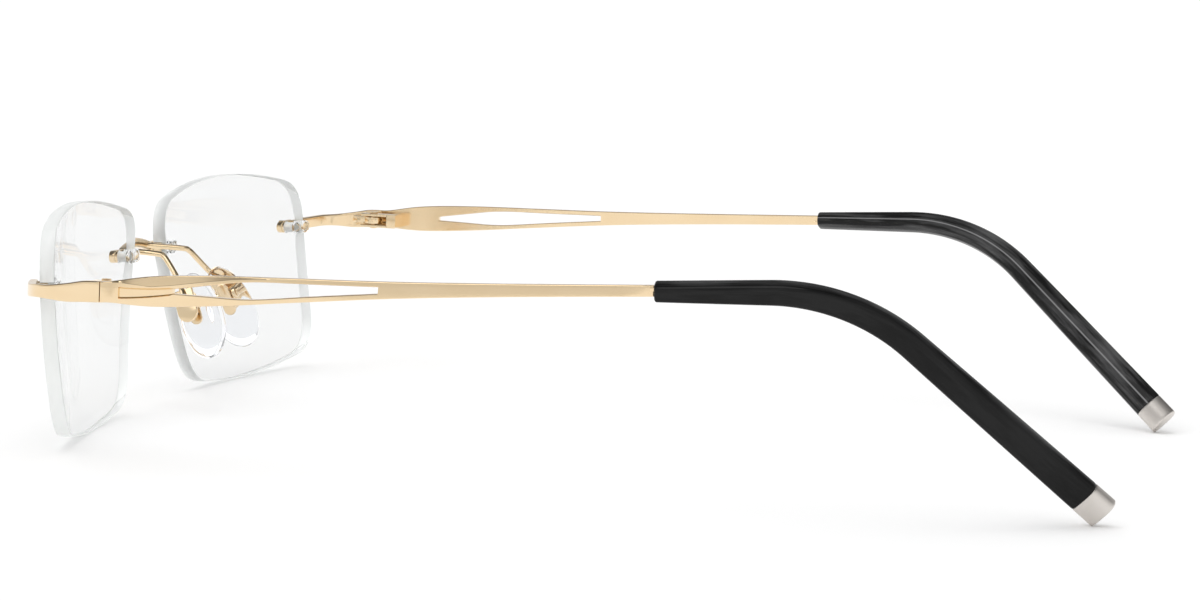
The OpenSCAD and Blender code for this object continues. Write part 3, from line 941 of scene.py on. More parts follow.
@dataclass
class Mounts(Assembly):
    """The clear plugs behind the lenses and the gold posts that they grip."""

    plate_h: float = 1.8
    plate_t: float = 1.1
    plug_t: float = 0.7
    shoulder_t: float = 0.4
    post_r: float = 0.6
    post_end: float = -0.9
    plug_border: float = 0.1
    sleeve_gap: float = 0.04

    def plug(self, side: Side, u: float, word: str) -> None:
        """Builds one clear plug: a round-ended head with two sleeves through the lens."""
        at = SHAPE.mount(u)
        half = SHAPE.pitch / 2
        shell = Shell()
        head = stadium(-half, half, self.plate_h / 2 + self.plug_border)
        shell.slab(at, head, 0.02, self.plug_t, 0.22)
        for s in (-1, 1):
            sleeve = circle(SHAPE.hole_r - self.sleeve_gap, 24, (s * half, 0))
            shell.slab(at, sleeve, -SHAPE.thickness + 0.05, 0.4, 0.08)
        made = shell.object(f"clear_plug_{word}_{side.word}", side, [self.finishes[Finish.CLEAR]])
        dress(made, "front", Finish.CLEAR, f"{word}_side_plug_{side.word}")

    def posts(self, shell: Shell, u: float) -> None:
        """Adds the two posts, hollow at the end, with their shoulders at a mount.

        Each is one turned profile: it runs back at the post's radius, turns in over a
        rounded rim and ends at the bottom of a blind hole.
        """
        at = SHAPE.mount(u)
        deep = -SHAPE.thickness - self.shoulder_t - 0.1
        r, end = self.post_r, self.post_end
        depth = np.array([deep, end - 0.08, end - 0.02, end, end, end - 0.05, end - 0.6])
        size = np.array([r, r, r - 0.02, r - 0.08, r - 0.2, r / 2, r / 2 - 0.02])
        ring = circle(1.0, 28)
        for s in (-1, 1):
            place = (s * SHAPE.pitch / 2, 0)
            across = place[0] + size[:, None] * ring[:, 0]
            shell.tube(at.put(across, depth[:, None], size[:, None] * ring[:, 1]))
            shell.slab(at, circle(SHAPE.hole_r, 28, place), deep, -SHAPE.thickness - 0.02, 0.1)

    def plate(self, shell: Shell, u: float, way: int) -> None:
        """Adds the metal plate on the front of the lens, with its two posts.

        Args:
            shell: where it goes.
            u: the mount's place across the lens.
            way: 1 when the round end is on the temple's side, -1 when on the nose's.
        """
        half, r = SHAPE.pitch / 2, self.plate_h / 2
        deep = -SHAPE.thickness - self.shoulder_t - self.plate_t
        round_end = arc_points((half, 0), r, -90, 90, 16)
        outline = way * np.vstack([round_end, [[-half - r, r], [-half - r, -r]]])
        shell.slab(SHAPE.mount(u), outline, deep, deep + self.plate_t, 0.2)
        self.posts(shell, u)

    def make(self) -> None:
        """Builds and dresses the four plugs."""
        for side in Side:
            self.plug(side, SHAPE.nose_u, "nose")
            self.plug(side, SHAPE.temple_u, "temple")


# ---------------------------------------------------------------- bridge and pads


@dataclass
class Bridge(Assembly):
    """The bridge bar, a shallow arch, with a plate and two posts at each lens."""

    mounts: Mounts
    half: float = 7.1
    front_y: float = -76.1
    end_z: float = 22.55
    rise: float = 1.0
    bow: float = 0.2
    bar_w: float = 1.3
    bar_h: float = 1.5

    def build(self) -> bpy.types.Object:
        """Builds the bridge; height and depth follow a half cosine wave across it."""
        places, draw = end_rounding(2 * self.half, 0.25, 3, 40)
        x = places - self.half
        wave = np.cos(np.pi / 2 * x / self.half)
        y = self.front_y + self.bar_w / 2 - self.bow * wave
        path = np.stack([x, y, self.end_z + self.rise * wave], -1)
        t = unit(np.gradient(path, axis=0))
        side = np.tile([0.0, -1, 0], (len(x), 1))
        rings = corner_box(self.bar_w - 2 * draw, self.bar_h - 2 * draw, 0.42, 5, 3)
        shell = Shell()
        shell.tube(carried(path, side, unit(np.cross(t, side)), rings))
        mount = Shell()
        self.mounts.plate(mount, SHAPE.nose_u, 1)
        for way in (1, -1):
            shell.join(mount, way)
        return shell.object("bridge_bar", None, [self.finishes[Finish.GOLD]])

    def make(self) -> None:
        """Builds and dresses the bridge."""
        dress(self.build(), "front", Finish.GOLD, "bridge")


@dataclass
class PadArms(Assembly):
    """The bent wires from the bridge to the pad boxes."""

    wire_r: float = 0.42
    points: tuple = (
        (4.8, -75.2, 22.9), (5.6, -69.6, 22.75), (5.9, -68.6, 22.45), (6.15, -67.9, 21.8),
        (6.9, -66.5, 20.2), (7.64, -65.63, 19.21), (8.97, -64.8, 18.66), (9.96, -64.35, 18.11),
        (10.46, -63.95, 17.11), (10.7, -63.68, 16.23),
    )

    def build(self, side: Side) -> None:
        """Builds and dresses one arm: a round wire carried along a smooth curve."""
        path = smooth_curve(np.array(self.points), 8)
        t = unit(np.gradient(path, axis=0))
        across = unit(np.cross([0.0, 0, 1], t) + [0.001, 0, 0])
        rings = np.tile(circle(self.wire_r, 16), (len(path), 1, 1))
        ends = np.linspace(0.55, 1, 3)
        rings[:3] *= ends[:, None, None]
        rings[-3:] *= ends[::-1, None, None]
        shell = Shell()
        shell.tube(carried(path, across, np.cross(t, across), rings))
        self.gold(shell, "pad_wire", side, "front", "pad_arm")

    def make(self) -> None:
        """Builds and dresses both arms."""
        for side in Side:
            self.build(side)


@dataclass
class NosePads(Assembly):
    """Each side's pad box, its screw, and the soft pad on its metal insert."""

    place: tuple = (9.0, -63.4, 15.95)
    splay: float = 5.0
    spread: float = 12.0
    lean: float = 22.0
    pad_l: float = 13.0
    pad_w: float = 6.8
    pad_t: float = 2.4
    box_w: float = 3.2
    box_h: float = 4.4
    box_depth: float = 1.7
    cheek_t: float = 0.6
    wall_t: float = 0.5
    lug_r: float = 0.75
    insert_x: float = 1.05
    insert_t: float = 0.6
    insert_h: float = 5.0
    insert_drop: float = 0.4
    screw_r: float = 0.35
    head_r: float = 0.6
    head_slot: float = 0.14
    pad_shift: tuple = (-0.1, 0.4, -1.6)
    face_size: float = 0.62

    @property
    def axes(self) -> Axes:
        """The pad's frame: X faces the nose, Y runs back across the pad, Z up it."""
        m = turned(0, self.lean) @ turned(1, -self.spread) @ turned(2, -self.splay)
        return Axes(np.array(self.place), (m @ np.diag([-1.0, 1, 1])).T)

    @property
    def facing(self) -> Axes:
        """The same frame with its Y turned to face the nose, for slabs."""
        x, y, z = self.axes.rows
        return Axes(self.axes.origin, np.array([y, x, z]))

    @property
    def lug_w(self) -> float:
        """Width of the insert's lug between the box's cheeks."""
        return self.box_w - 2 * self.cheek_t - 0.16

    def box(self, side: Side) -> None:
        """Builds the pad box: a back wall with a round foot, and two cheeks."""
        w, low = self.box_w / 2, -self.box_h / 4
        top = self.box_h / 2
        wall = np.vstack([arc_points((0, low), w, 180, 360, 20), [[w, top], [-w, top]]])
        shell = Shell()
        back = -self.box_depth / 2
        shell.slab(self.facing, wall, back - self.wall_t, back, 0.12)
        cheek = np.vstack([
            [[back - 0.02, self.lug_r + 0.2], [back - 0.02, -self.lug_r - 0.2]],
            arc_points((0.05, 0), self.lug_r + 0.15, -80, 80, 14),
        ])
        for y in (-w, w - self.cheek_t):
            shell.slab(self.axes, cheek, y, y + self.cheek_t, 0.1)
        self.gold(shell, "pad_cup", side, "front", "pad_box")

    def screw(self, side: Side) -> None:
        """Builds the screw across the box, with a slotted head."""
        shell = Shell()
        w = self.box_w / 2
        shell.slab(self.axes, circle(self.screw_r, 20), -w + 0.02, w + 0.05, 0.06)
        slotted_head(shell, self.axes, self.head_r, w + 0.02, w + 0.35, self.head_slot)
        self.gold(shell, "pad_box_screw", side, "front", "pad_screw")

    def insert(self, side: Side) -> None:
        """Builds the metal insert: a lug on the screw and a plate in the pad's back."""
        half = self.lug_w / 2
        shell = Shell()
        lug = np.vstack([
            arc_points((0, 0), self.lug_r, 90, 270, 16),
            [[self.insert_x + 0.1, -self.lug_r], [self.insert_x + 0.1, self.lug_r]],
        ])
        shell.slab(self.axes, lug, -half, half, 0.1)
        reach = self.insert_h / 2 - half
        plate = stadium(-reach, reach, half)[:, ::-1] * [-1, 1] - [0, self.insert_drop]
        shell.slab(self.facing, plate, self.insert_x, self.insert_x + self.insert_t, 0.12)
        self.gold(shell, "pad_plate", side, "nose_pad", "pad_insert")

    def pad(self, side: Side) -> None:
        """Builds the soft pad: oval slices whose size follows a rounded edge.

        Going through the thickness by an angle from 0 to 180 degrees, a slice lies at
        minus the cosine of it and its size is 0.62 plus 0.38 times its sine to the 0.8.
        The oval narrows by 12% of its width towards the top. The face towards the nose
        is pushed in a little in the middle.
        """
        angle = np.linspace(0, np.pi, 25)
        small = self.face_size
        size = small + (1 - small) * np.sin(angle) ** 0.8
        a = 2 * np.pi * np.arange(64) / 64
        slices = [(k * small, -1.0) for k in (0.02, 0.35, 0.7)]
        slices += list(zip(size, -np.cos(angle)))
        slices += [(k * small, 1 - d) for k, d in ((0.7, 0.03), (0.35, 0.06), (0.02, 0.07))]
        scale, level = np.array(slices).T[..., None]
        shift = self.pad_shift
        x = shift[0] + self.insert_x + self.pad_t / 2 * (1 + level)
        y = shift[1] + scale * self.pad_w / 2 * np.cos(a) * (1 - 0.12 * np.sin(a))
        z = shift[2] + scale * self.pad_l / 2 * np.sin(a)
        shell = Shell()
        shell.tube(self.axes.put(x + 0 * y, y, z))
        made = shell.object(f"soft_pad_{side.word}", side, [self.finishes[Finish.RUBBER]], 70)
        dress(made, f"nose_pad_{side.word}", Finish.RUBBER, f"nose_pad_{side.word}", padded=True)

    def make(self) -> None:
        """Builds and dresses both sides."""
        for side in Side:
            self.box(side)
            self.screw(side)
            self.insert(side)
            self.pad(side)


def slotted_head(shell: Shell, axes: Axes, r: float, low: float, high: float, slot: float) -> None:
    """Adds a round screw head along Y with a driver slot: a disc under two half discs.

    Args:
        shell: where it goes.
        axes: the screw's frame.
        r: the head's radius.
        low: its under side.
        high: its top.
        slot: the driver slot's width.
    """
    floor = 0.5 * (low + high)
    shell.slab(axes, circle(r, 32), low, floor, 0.03)
    start = math.degrees(math.asin(slot / 2 / r))
    for turn in (0, 180):
        half = arc_points((0, 0), r, start + turn, 180 - start + turn, 20)
        shell.slab(axes, half, floor - 0.02, high, 0.05)


# ---------------------------------------------------------------- end pieces and hinges


@dataclass
class EndPieces(Assembly):
    """Each strip from the lens mount round the corner to the hinge."""

    mounts: Mounts
    strip_t: float = 1.1
    height: float = 2.8
    points: tuple = (
        (56.6, -70.55, 22.4), (60.5, -69.4, 22.45), (64.2, -67.95, 22.65), (67.1, -66.0, 22.95),
        (68.65, -63.7, 23.05), (69.3, -61.0, 23.2), (69.55, -58.4, 23.52), (69.6, -56.2, 23.6),
    )
    heights: tuple = (1.8, 1.8, 1.75, 1.75, 1.9, 2.45, 2.8, 2.8)
    joint_r: float = 0.06

    def build(self, side: Side) -> None:
        """Builds and dresses one end piece.

        The strip's outer face follows a smooth curve in plan; its section is a
        rectangle with rounded corners whose height changes along the way.
        """
        dense = smooth_curve(np.array(self.points), 24)
        tall = smooth_curve(np.array(self.heights)[:, None], 24)[:, 0]
        run = np.concatenate([[0], np.cumsum(np.linalg.norm(np.diff(dense, axis=0), axis=1))])
        places, draw = end_rounding(run[-1], 0.2, 4, 90)
        draw[-5:] *= self.joint_r / 0.2
        places[-5:] = run[-1] - (run[-1] - places[-5:]) * self.joint_r / 0.2
        path = np.stack([np.interp(places, run, dense[:, k]) for k in range(3)], -1)
        height = np.interp(places, run, tall)
        t = np.gradient(path, axis=0) * [1, 1, 0]
        t = unit(t)
        inward = np.stack([-t[:, 1], t[:, 0], 0 * t[:, 0]], -1)
        up = np.tile([0.0, 0, 1], (len(t), 1))
        rings = corner_box(self.strip_t - 2 * draw, height - 2 * draw, 0.2, 4, 6)
        shell = Shell()
        shell.tube(carried(path + inward * self.strip_t / 2, inward, up, rings))
        self.mounts.plate(shell, SHAPE.temple_u, -1)
        self.gold(shell, "end_strip", side, "front", "end_piece")

    def make(self) -> None:
        """Builds and dresses both end pieces."""
        for side in Side:
            self.build(side)


@dataclass
class Hinges(Assembly):
    """Each three-knuckle hinge: a tongue, a clevis and a screw from above."""

    pin: tuple = (65.6, -56.6, 23.6)
    knuckle_r: float = 1.45
    height: float = 2.2
    tongue_h: float = 1.1
    leaf_h: float = 0.4
    leaf_front: float = 1.9
    inner_face: float = 68.5
    strand_face: float = 68.4
    screw_r: float = 0.42
    leaf_corner: float = 0.3
    leaf_back: float = 2.6
    root_back: float = 4.0
    foot_front: float = 3.6
    head_r: float = 0.65
    head_h: float = 0.3
    head_slot: float = 0.17
    peened_r: float = 0.55

    @property
    def axes(self) -> Axes:
        """The pin's frame with Y up, X across and Z forwards, for slabs along the pin."""
        return Axes(np.array(self.pin), np.array([[1.0, 0, 0], [0, 0, 1], [0, -1, 0]]))

    def tongue(self, side: Side) -> None:
        """Builds the front half: a knuckle on a foot inside the end piece."""
        reach, front = self.inner_face - self.pin[0] - 0.02, self.foot_front
        outline = np.vstack([
            arc_points((0, 0), self.knuckle_r, 90, 360, 40),
            [[reach, 0.0], [reach, front], [0.35, front], [0.0, front - 0.4]],
        ])
        shell = Shell()
        shell.slab(self.axes, outline, -self.tongue_h / 2, self.tongue_h / 2, 0.1)
        self.gold(shell, "hinge_knuckle", side, "front", "hinge_tongue")

    def clevis(self, side: Side) -> None:
        """Builds the rear half: two leaves and the root block inside the temple."""
        r, half, c = self.knuckle_r, self.height / 2, self.leaf_corner
        leaf = np.vstack([
            arc_points((r - c, self.leaf_front - c), c, 0, 90, 6),
            arc_points((c - r, self.leaf_front - c), c, 90, 180, 6),
            [[-r, -self.leaf_back], [r, -self.leaf_back]],
        ])
        shell = Shell()
        shell.slab(self.axes, leaf, -half, -half + self.leaf_h, 0.1)
        shell.slab(self.axes, leaf, half - self.leaf_h, half, 0.1)
        reach = self.strand_face - self.pin[0] - 0.02
        root = rect(-r, reach, -self.root_back, 0.1 - self.leaf_back)
        shell.slab(self.axes, root, -half, half, 0.15)
        self.gold(shell, "hinge_leaves", side, "temple", "hinge_clevis")

    def screw(self, side: Side) -> None:
        """Builds the hinge screw with a slotted head on top and a peened end below."""
        half = self.height / 2
        shell = Shell()
        shell.slab(self.axes, circle(self.screw_r, 20), -half - 0.1, half + 0.1, 0.05)
        low = half + 0.02
        slotted_head(shell, self.axes, self.head_r, low, low + self.head_h, self.head_slot)
        shell.slab(self.axes, circle(self.peened_r, 28), -half - 0.22, -half - 0.02, 0.09)
        self.gold(shell, "hinge_pin", side, "temple", "hinge_screw")

    def make(self) -> None:
        """Builds and dresses both hinges."""
        for side in Side:
            self.tongue(side)
            self.clevis(side)
            self.screw(side)


# ---------------------------------------------------------------- temples


@dataclass
class Temples(Assembly):
    """Each temple strand: a flat bar, widest at its slot, thinning to the tip.

    The profile gives half heights as parts of the height. The slot's profile and the
    facet's lower line give heights at distances behind the hinge pin.
    """

    tips: "Tips"
    front: float = -56.1
    back: float = 17.0
    outer_x: float = 69.6
    thickness: float = 1.2
    hinge_y: float = -56.6
    hinge_z: float = 23.6
    tip_z: float = 28.22
    height: float = 4.0
    channel_depth: float = 0.35
    facet_depth: float = 0.13
    ledge: float = 0.025
    lean: float = 0.13
    rim: float = 0.12
    joint_r: float = 0.06
    crown: float = 0.045
    crisp: float = 8.0
    hump: float = 0.15
    sweep: float = 2.6
    bow: float = 1.5
    core_w: float = 1.1
    core_h: float = 1.3
    profile: tuple = (
        (0, 0.35), (0.02, 0.355), (0.1, 0.5), (0.22, 0.49), (0.36, 0.39),
        (0.54, 0.27), (0.75, 0.21), (1, 0.185),
    )
    slot_profile: tuple = (
        (10.3, 0.3), (15, 0.72), (18.5, 1.04), (20.5, 1.12), (23, 1.08), (29, 0.78), (37.7, 0.42),
    )
    facet_line: tuple = (
        (0, 1.25), (3, 1.25), (7.3, 0.64), (10.3, 0.81), (14.7, 1.22), (18.1, 1.47), (24, 1.6),
    )

    def part(self, y: np.ndarray) -> np.ndarray:
        """How far along the strand y lies, from 0 to 1."""
        return (y - self.front) / (self.back - self.front)

    def face_x(self, y: np.ndarray) -> np.ndarray:
        """Outer face, across: it leans in by the sweep and bows in by the bow."""
        t = self.part(y)
        return self.outer_x - self.sweep * t - self.bow * t * t

    def middle_z(self, y: np.ndarray) -> np.ndarray:
        """Middle line, up: a rising line with a half sine hump."""
        t = self.part(y)
        hump = self.hump * np.sin(np.pi * np.clip(t, 0, 1))
        return self.hinge_z + (self.tip_z - self.hinge_z) * t + hump

    def half_height(self, y: np.ndarray) -> np.ndarray:
        """Half the strand's height, from its profile."""
        p = smooth_curve(np.array(self.profile), 16)
        return np.interp(self.part(y), p[:, 0], p[:, 1]) * self.height

    def slot_half(self, y: np.ndarray) -> np.ndarray:
        """Half the slot's height: a long diamond with softened corners."""
        p = smooth_curve(np.array(self.slot_profile), 8)
        return np.interp(y - self.hinge_y, p[:, 0], p[:, 1])

    def columns(self) -> np.ndarray:
        """Places along the strand, close together at the ends, channel and slot."""
        h, r = self.hinge_y, self.rim
        turn = r * (1 - np.cos(RIM_ANGLES))
        return np.concatenate([
            self.front + turn * self.joint_r / r,
            np.linspace(self.front + 0.15, h + 1.98, 6),
            [h + 2.05, h + 2.4, h + 2.7, h + 2.95, h + 3.0, h + 3.06, h + 3.3],
            np.linspace(h + 3.6, h + 10.0, 16),
            [h + 10.2, h + 10.3, h + 10.34, h + 10.5],
            np.linspace(h + 11, h + 37.2, 52),
            [h + 37.5, h + 37.66, h + 37.7, h + 37.8, h + 38.1],
            np.linspace(h + 39, self.back - 1.0, 46),
            self.back - turn[::-1],
        ])

    def build(self, side: Side) -> None:
        """Builds and dresses one strand as a slab over a grid of columns (along) and rows (up).

        Rows follow the lower edge, the slot's two edges and the upper edge, so the
        slot is a block of cells left out. Each edge rolls over by a quarter circle of
        radius rim. The outer face is cut by the channel in front of the slot, by a
        slanting facet under the upper edge, and by a shallow dip at the hinge.
        """
        y = self.columns()
        zc, he, xo = self.middle_z(y), self.half_height(y), self.face_x(y)
        h, r = self.hinge_y, self.rim
        y0, y1 = h + self.slot_profile[0][0] + 0.02, h + self.slot_profile[-1][0] - 0.02
        slot = (y > y0) & (y < y1)
        chan = (y >= h + 3.03) & (y <= y0 + 0.01)
        # rows of the slot's edges, or of the channel's floor in front of it
        t = np.clip((y - h - 3) / 7.3, 0, 1)
        drop = (zc - self.hinge_z) * (t - 1)
        low_e = np.where(y < y0, -0.5 + 0.2 * t + drop, -self.slot_half(y))
        top_e = np.where(y < y0, 0.62 - 0.32 * t + drop, self.slot_half(y))
        wide = 1 + 0.75 * np.interp(y - h, [2.5, 3.0, 10.0, 10.3], [0, 1, 1, 0])
        line = np.interp(y - h, *np.array(self.facet_line).T)
        line = np.clip(line, top_e + r * wide + 0.1, he - r - 0.1)
        go, dip = r * (1 - np.sin(RIM_ANGLES)), r * (1 - np.cos(RIM_ANGLES))
        rows, inset_x, kinds = [], [], []

        def row(z: np.ndarray, x: float, kind: str) -> None:
            """Adds a row at heights z, drawn in by x; its kind is edge, slot or face."""
            rows.append(z)
            inset_x.append(x)
            kinds.append(kind)

        for d, g in zip(dip, go):
            row(-he + d, g, "edge")
        room = low_e - r * wide - (r - he)
        for k in (0.2, 0.4, 0.6, 0.8):
            row(r - he + room * k, 0, "face")
        for d, g in zip(dip[::-1], go[::-1]):
            row(low_e - d * wide, g, "slot")
        low_row = len(rows) - 1
        top_row = low_row + 1
        for d, g in zip(dip, go):
            row(top_e + d * wide, g, "slot")
        start = top_e + r * wide
        for z_at in (0.5 * (start + line), line - 0.02, line + 0.02, 0.5 * (line + he - r)):
            row(z_at, 0, "face")
        for d, g in zip(dip[::-1], go[::-1]):
            row(he - d, g, "edge")
        z = zc + np.stack(rows)
        is_slot, is_edge = (np.array(kinds)[:, None] == kind for kind in ("slot", "edge"))
        roll = np.array(inset_x)[:, None]
        rolled = np.where(is_edge | (is_slot & slot), roll, 0.0)
        end_roll = np.zeros(len(y))
        end_roll[:4] = go * self.joint_r / r
        end_roll[-4:] = go[::-1]
        rolled = np.maximum(rolled, end_roll)
        outer = xo - rolled
        floor = np.zeros(z.shape)
        for step, deep in enumerate((1.0, 0.94, 0.5, 0.0)):
            floor[low_row - step] = floor[top_row + step] = deep
        outer = outer - self.channel_depth * floor * chan
        # slanting facet under the upper edge: its lower line dips to the middle
        over = np.clip((z - zc - line) / np.maximum(he - line, 0.05), 0, 1)
        over *= np.interp(y - h, [2.0, 3.0, 17.0, 23.0], [0, 1, 1, 0])
        outer = outer - self.facet_depth * over - self.ledge * (over > 0)
        # at the hinge the face leans back and in, then steps out to the channel
        level = (z - zc) / he
        lean = np.interp(y - h, [0.5, 0.9, 2.03, 3.0], [0, 0.5, 1, 0])
        outer = outer - lean * (0.12 + 0.1 * level)
        outer = outer - self.crown * he * level * level
        inner = xo - self.thickness + rolled
        # from the slot back, the whole section leans in towards its top
        end = self.back - h
        tilt = self.lean * np.interp(y - h, [12, 36, end - 4, end], [0, 1, 1, 0])
        outer, inner = outer - tilt * (z - zc), inner - tilt * (z - zc)
        yy = np.broadcast_to(y, z.shape)
        keep = np.ones((len(rows) - 1, len(y) - 1), bool)
        middle = 0.5 * (y[1:] + y[:-1])
        keep[low_row, (middle > y0) & (middle < y1)] = False
        shell = Shell()
        both = np.stack([np.stack([x, yy, z], -1) for x in (outer, inner)])
        shell.add(both, plate_faces(keep))
        self.add_core(shell)
        self.gold(shell, "slotted_strand", side, "temple", "temple", self.crisp)

    def add_core(self, shell: Shell) -> None:
        """Adds the flat wire that runs on inside the tip."""
        s = np.linspace(-0.5, 66.5, 60)
        ones = np.ones(len(s))
        rings = corner_box(self.core_w * ones, self.core_h * ones, 0.2, 2, 2)
        shell.tube(self.tips.bar(s, rings))

    def make(self) -> None:
        """Builds and dresses both strands."""
        for side in Side:
            self.build(side)


def plate_faces(keep: np.ndarray) -> list[np.ndarray]:
    """Faces of a two-sided plate over a grid, with walls between kept and left-out cells.

    Args:
        keep: (rows - 1, columns - 1) cells to keep.

    Returns:
        Groups of quads, counting the outer side's points first and then the inner's.
    """
    m, n = keep.shape
    number = np.arange((m + 1) * (n + 1)).reshape(m + 1, n + 1)
    back = number.size
    i, j = np.nonzero(keep)
    outer = np.stack([number[i, j], number[i, j + 1], number[i + 1, j + 1], number[i + 1, j]], -1)
    groups = [outer, outer[:, ::-1] + back]
    wide = np.pad(keep, 1)
    for di, dj, a, b in (
        (-1, 0, (0, 0), (0, 1)),
        (1, 0, (1, 1), (1, 0)),
        (0, -1, (1, 0), (0, 0)),
        (0, 1, (0, 1), (1, 1)),
    ):
        open_side = ~wide[i + 1 + di, j + 1 + dj]
        p, q = i[open_side], j[open_side]
        va, vb = number[p + a[0], q + a[1]], number[p + b[0], q + b[1]]
        if len(va):
            groups.append(np.stack([vb, va, va + back, vb + back], -1))
    return groups


@dataclass
class Tips(Assembly):
    """Each black tip and its silver cap, on a middle line of a straight, an arc and a straight."""

    start: tuple = (64.9, 17.0, 28.22)
    straight: float = 15.0
    bend_r: float = 25.5
    length: float = 69.0
    thickness: float = 2.8
    cap_length: float = 3.6
    cap_gap: float = 0.03
    ring_points: int = 72
    first_way: tuple = (-0.06, 1, 0.05)
    drop_way: tuple = (-0.42, 1, -0.863)
    heights: tuple = (2.4, 3.7, 4.5)
    outer_power: float = 0.4
    inner_power: float = 0.62
    top_power: float = 0.8
    ridge: float = 0.24

    def directions(self) -> tuple[np.ndarray, np.ndarray, float, np.ndarray]:
        """The bend's plane and angle.

        Returns:
            The first direction, the one square to it in the bend's plane, the bend's
            angle, and the plane's normal.
        """
        first, drop = unit(np.array(self.first_way)), unit(np.array(self.drop_way))
        angle = math.acos(float(first @ drop))
        square = unit(drop - (drop @ first) * first)
        return first, square, angle, np.cross(first, square)

    def bar(self, s: np.ndarray, rings: np.ndarray) -> np.ndarray:
        """Rings carried along the middle line: straight, then an arc, then straight down.

        Args:
            s: (m,) lengths along the line.
            rings: (m, n, 2) sections, across and up.

        Returns:
            (m, n, 3) points.
        """
        first, square, angle, normal = self.directions()
        bend = self.bend_r * angle
        a = angle * np.clip((s - self.straight) / bend, 0, 1)
        c, d = np.cos(a)[:, None], np.sin(a)[:, None]
        drop = math.cos(angle) * first + math.sin(angle) * square
        point = (
            np.array(self.start)
            + np.minimum(s, self.straight)[:, None] * first
            + self.bend_r * (d * first + (1 - c) * square)
            + np.maximum(s - self.straight - bend, 0)[:, None] * drop
        )
        along = c * first + d * square
        side = np.tile(normal, (len(s), 1))
        return carried(point, side, np.cross(along, side), rings)

    def height(self, s: np.ndarray) -> np.ndarray:
        """Height of the blade: a parabola through the heights at its start, middle and end."""
        t = s / self.length
        a, b, c = self.heights
        return a * (1 - t) * (1 - 2 * t) + 4 * b * t * (1 - t) + c * t * (2 * t - 1)

    def blade(self, s: np.ndarray, draw: np.ndarray) -> np.ndarray:
        """Blade rings: a flat outer face and an inner face drawn out to a soft ridge.

        Every part is a superellipse, squarer on the outer face than along the top. On
        the inner face the distance out falls by a quarter between the ridge and the edges.
        """
        w, h = self.thickness - 2 * draw, self.height(s) - 2 * draw
        powers = (self.outer_power, self.inner_power, self.top_power)
        outer, inner, top = (round_box(w, h, self.ring_points, p) for p in powers)
        outer = np.where(outer[..., 1:] > 0, top, outer)
        rings = np.where(outer[..., :1] < 0, outer, inner)
        level = np.abs(inner[..., 1]) / (h[:, None] / 2)
        ridge = np.where(rings[..., 0] > 0, 1 - self.ridge * level, 1.0)
        rings[..., 0] *= ridge
        return self.bar(s, rings)

    def mark_inner(self, piece: bpy.types.Object, s: np.ndarray) -> None:
        """Stores on each point how far round it lies towards the head, and its way along.

        Args:
            piece: the tip, whose points are its rings in order.
            s: the rings' lengths along the tip.
        """
        n = self.ring_points
        angle = 2 * np.pi * (np.arange(len(s) * n) % n + 0.5) / n
        values = piece.data.attributes.new("inner_side", "FLOAT", "POINT")
        values.data.foreach_set("value", (0.5 + 0.5 * np.cos(angle)).astype(np.float32))
        way = np.stack([np.repeat(s, n), 1.4 * np.cos(angle), 2.0 * np.sin(angle)], -1) * MM
        values = piece.data.attributes.new("tip_way", "FLOAT_VECTOR", "POINT")
        values.data.foreach_set("vector", way.astype(np.float32).ravel())

    def build(self, side: Side) -> tuple[bpy.types.Object, bpy.types.Object]:
        """Builds one tip and its cap."""
        cap = self.length - self.cap_length
        along, draw = end_rounding(cap, 0.35, 5, 90)
        draw[-6:] *= 0.25
        tip = Shell()
        tip.tube(self.blade(along, draw))
        s, draw = end_rounding(self.cap_length - self.cap_gap, 0.3, 4, 6)
        draw[:5] *= 0.25
        end = Shell()
        end.tube(self.blade(cap + self.cap_gap + s, draw))
        black = tip.object(f"black_tip_{side.word}", side, [self.finishes[Finish.TIP]], 60)
        self.mark_inner(black, along)
        return black, end.object(f"silver_cap_{side.word}", side, [self.finishes[Finish.CAP]], 50)

    def make(self) -> None:
        """Builds and dresses both tips and caps."""
        for side in Side:
            tip, cap = self.build(side)
            body = f"temple_{side.word}"
            dress(tip, body, Finish.TIP, f"temple_tip_{side.word}")
            dress(cap, body, Finish.CAP, f"end_cap_{side.word}")


# ---------------------------------------------------------------- studio


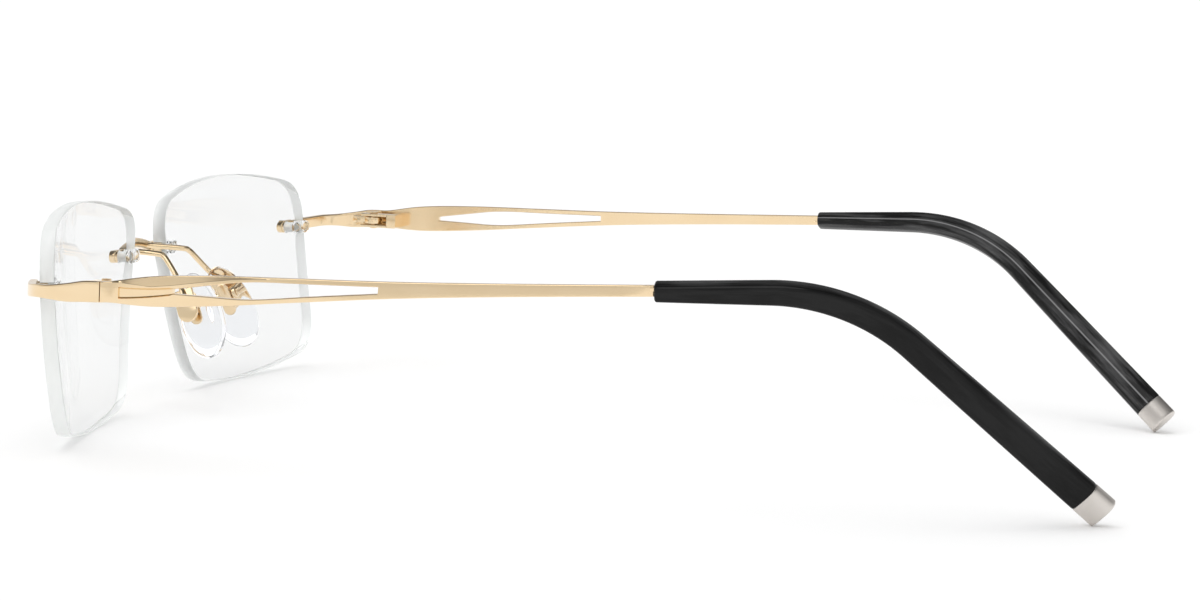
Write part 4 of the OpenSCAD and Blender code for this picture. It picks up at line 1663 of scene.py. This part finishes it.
@dataclass
class Studio:
    """A plain pale floor, soft light from above and the sides, and the camera."""

    place: tuple = (569.53, 118.31, 78.95)
    azimuth: float = 102.167
    elevation: float = 5.713
    roll: float = 2.256
    pitch_shift: float = 0.40
    focal: float = 121.053
    floor_half: float = 12.0
    sky: tuple = ((0.51, 0.84), (0.66, 0.72), (0.74, 0.40), (0.82, 0.10), (0.97, 0.12))
    suns: tuple = (
        ("key_light", (38, 0, 60), 1.45, 75, False),
        ("fill_light", (52, 0, -75), 1.05, 90, False),
        ("top_light", (8, 0, 0), 1.15, 100, False),
        ("edge_light", (42, 0, 80), 0.3, 27, True),
    )

    def camera(self) -> None:
        """Sets the camera: its axes come from an azimuth, an elevation and a roll."""
        a, e, r = (math.radians(v) for v in (self.azimuth, self.elevation, self.roll))
        back = np.array([math.sin(a) * math.cos(e), -math.cos(a) * math.cos(e), math.sin(e)])
        right = unit(np.cross(-back, [0, 0, 1.0]))
        up = np.cross(right, -back)
        rows = np.array([
            math.cos(r) * right + math.sin(r) * up,
            -math.sin(r) * right + math.cos(r) * up,
            back,
        ]) @ turned(0, self.pitch_shift).T
        data = bpy.data.cameras.new("studio_camera")
        data.lens, data.sensor_width, data.sensor_fit = self.focal, 36.0, "HORIZONTAL"
        data.clip_start, data.clip_end = 0.01, 100.0
        made = bpy.data.objects.new("studio_camera", data)
        matrix = np.eye(4)
        matrix[:3, :3] = rows.T
        matrix[:3, 3] = np.array(self.place) * MM
        made.matrix_world = Matrix(matrix.tolist())
        bpy.context.scene.collection.objects.link(made)
        bpy.context.scene.camera = made

    def floor(self) -> None:
        """Lays a large flat floor just under the glasses."""
        f = self.floor_half
        mesh = bpy.data.meshes.new("studio_floor")
        mesh.from_pydata([(-f, -f, 0), (f, -f, 0), (f, f, 0), (-f, f, 0)], [], [(0, 1, 2, 3)])
        mesh.materials.append(FloorPaint("floor_white", 0.86).make())
        made = bpy.data.objects.new("studio_floor", mesh)
        bpy.context.scene.collection.objects.link(made)

    def light(self) -> None:
        """Lights the floor with three wide suns, under a sky that is darkest towards its top.

        Each sun has a name, a turn in degrees, a power, a width in degrees, and whether
        it shines in glossy surfaces. Each step of the sky has a height, from 0 straight
        down to 1 straight up, and a shade. The narrow edge light only shines in the
        glossy surfaces, and the wide ones only light the matt ones.
        """
        scene = bpy.context.scene
        scene.view_settings.view_transform = "Standard"
        world = bpy.data.worlds.new("studio_sky")
        scene.world = world
        world.use_nodes = True
        tree = world.node_tree
        back = tree.nodes["Background"]
        place = tree.nodes.new("ShaderNodeTexCoord")
        part = tree.nodes.new("ShaderNodeSeparateXYZ")
        tree.links.new(place.outputs["Generated"], part.inputs[0])
        ramp = tree.nodes.new("ShaderNodeValToRGB")
        span = tree.nodes.new("ShaderNodeMapRange")
        span.inputs["From Min"].default_value = -1.0
        tree.links.new(part.outputs["Z"], span.inputs["Value"])
        tree.links.new(span.outputs["Result"], ramp.inputs["Fac"])
        tree.links.new(ramp.outputs["Color"], back.inputs["Color"])
        stops = ramp.color_ramp.elements
        stops[0].position, stops[0].color = 0.49, (0.5, 0.5, 0.5, 1)
        stops[1].position, stops[1].color = 1.0, (0.7, 0.7, 0.7, 1)
        for at, shade in self.sky:
            new = stops.new(at)
            new.color = (shade, shade, shade, 1)
        back.inputs["Strength"].default_value = 1.0
        for name, turn, power, wide, shines in self.suns:
            data = bpy.data.lights.new(name, "SUN")
            data.energy, data.angle = power, math.radians(wide)
            made = bpy.data.objects.new(name, data)
            made.visible_glossy, made.visible_diffuse = shines, not shines
            made.rotation_euler = [math.radians(v) for v in turn]
            scene.collection.objects.link(made)

    def make(self) -> None:
        """Sets up everything that isn't part of the glasses."""
        self.camera()
        self.floor()
        self.light()


def main() -> None:
    """Builds the studio and every sub-assembly in order."""
    logging.basicConfig(level=logging.INFO, format="%(name)s: %(message)s")
    Studio().make()
    finishes = make_finishes()
    tips = Tips(finishes)
    mounts = Mounts(finishes)
    Lenses(finishes).make()
    mounts.make()
    Bridge(finishes, mounts).make()
    PadArms(finishes).make()
    NosePads(finishes).make()
    EndPieces(finishes, mounts).make()
    Hinges(finishes).make()
    Temples(finishes, tips).make()
    tips.make()


if __name__ == "__main__":
    main()
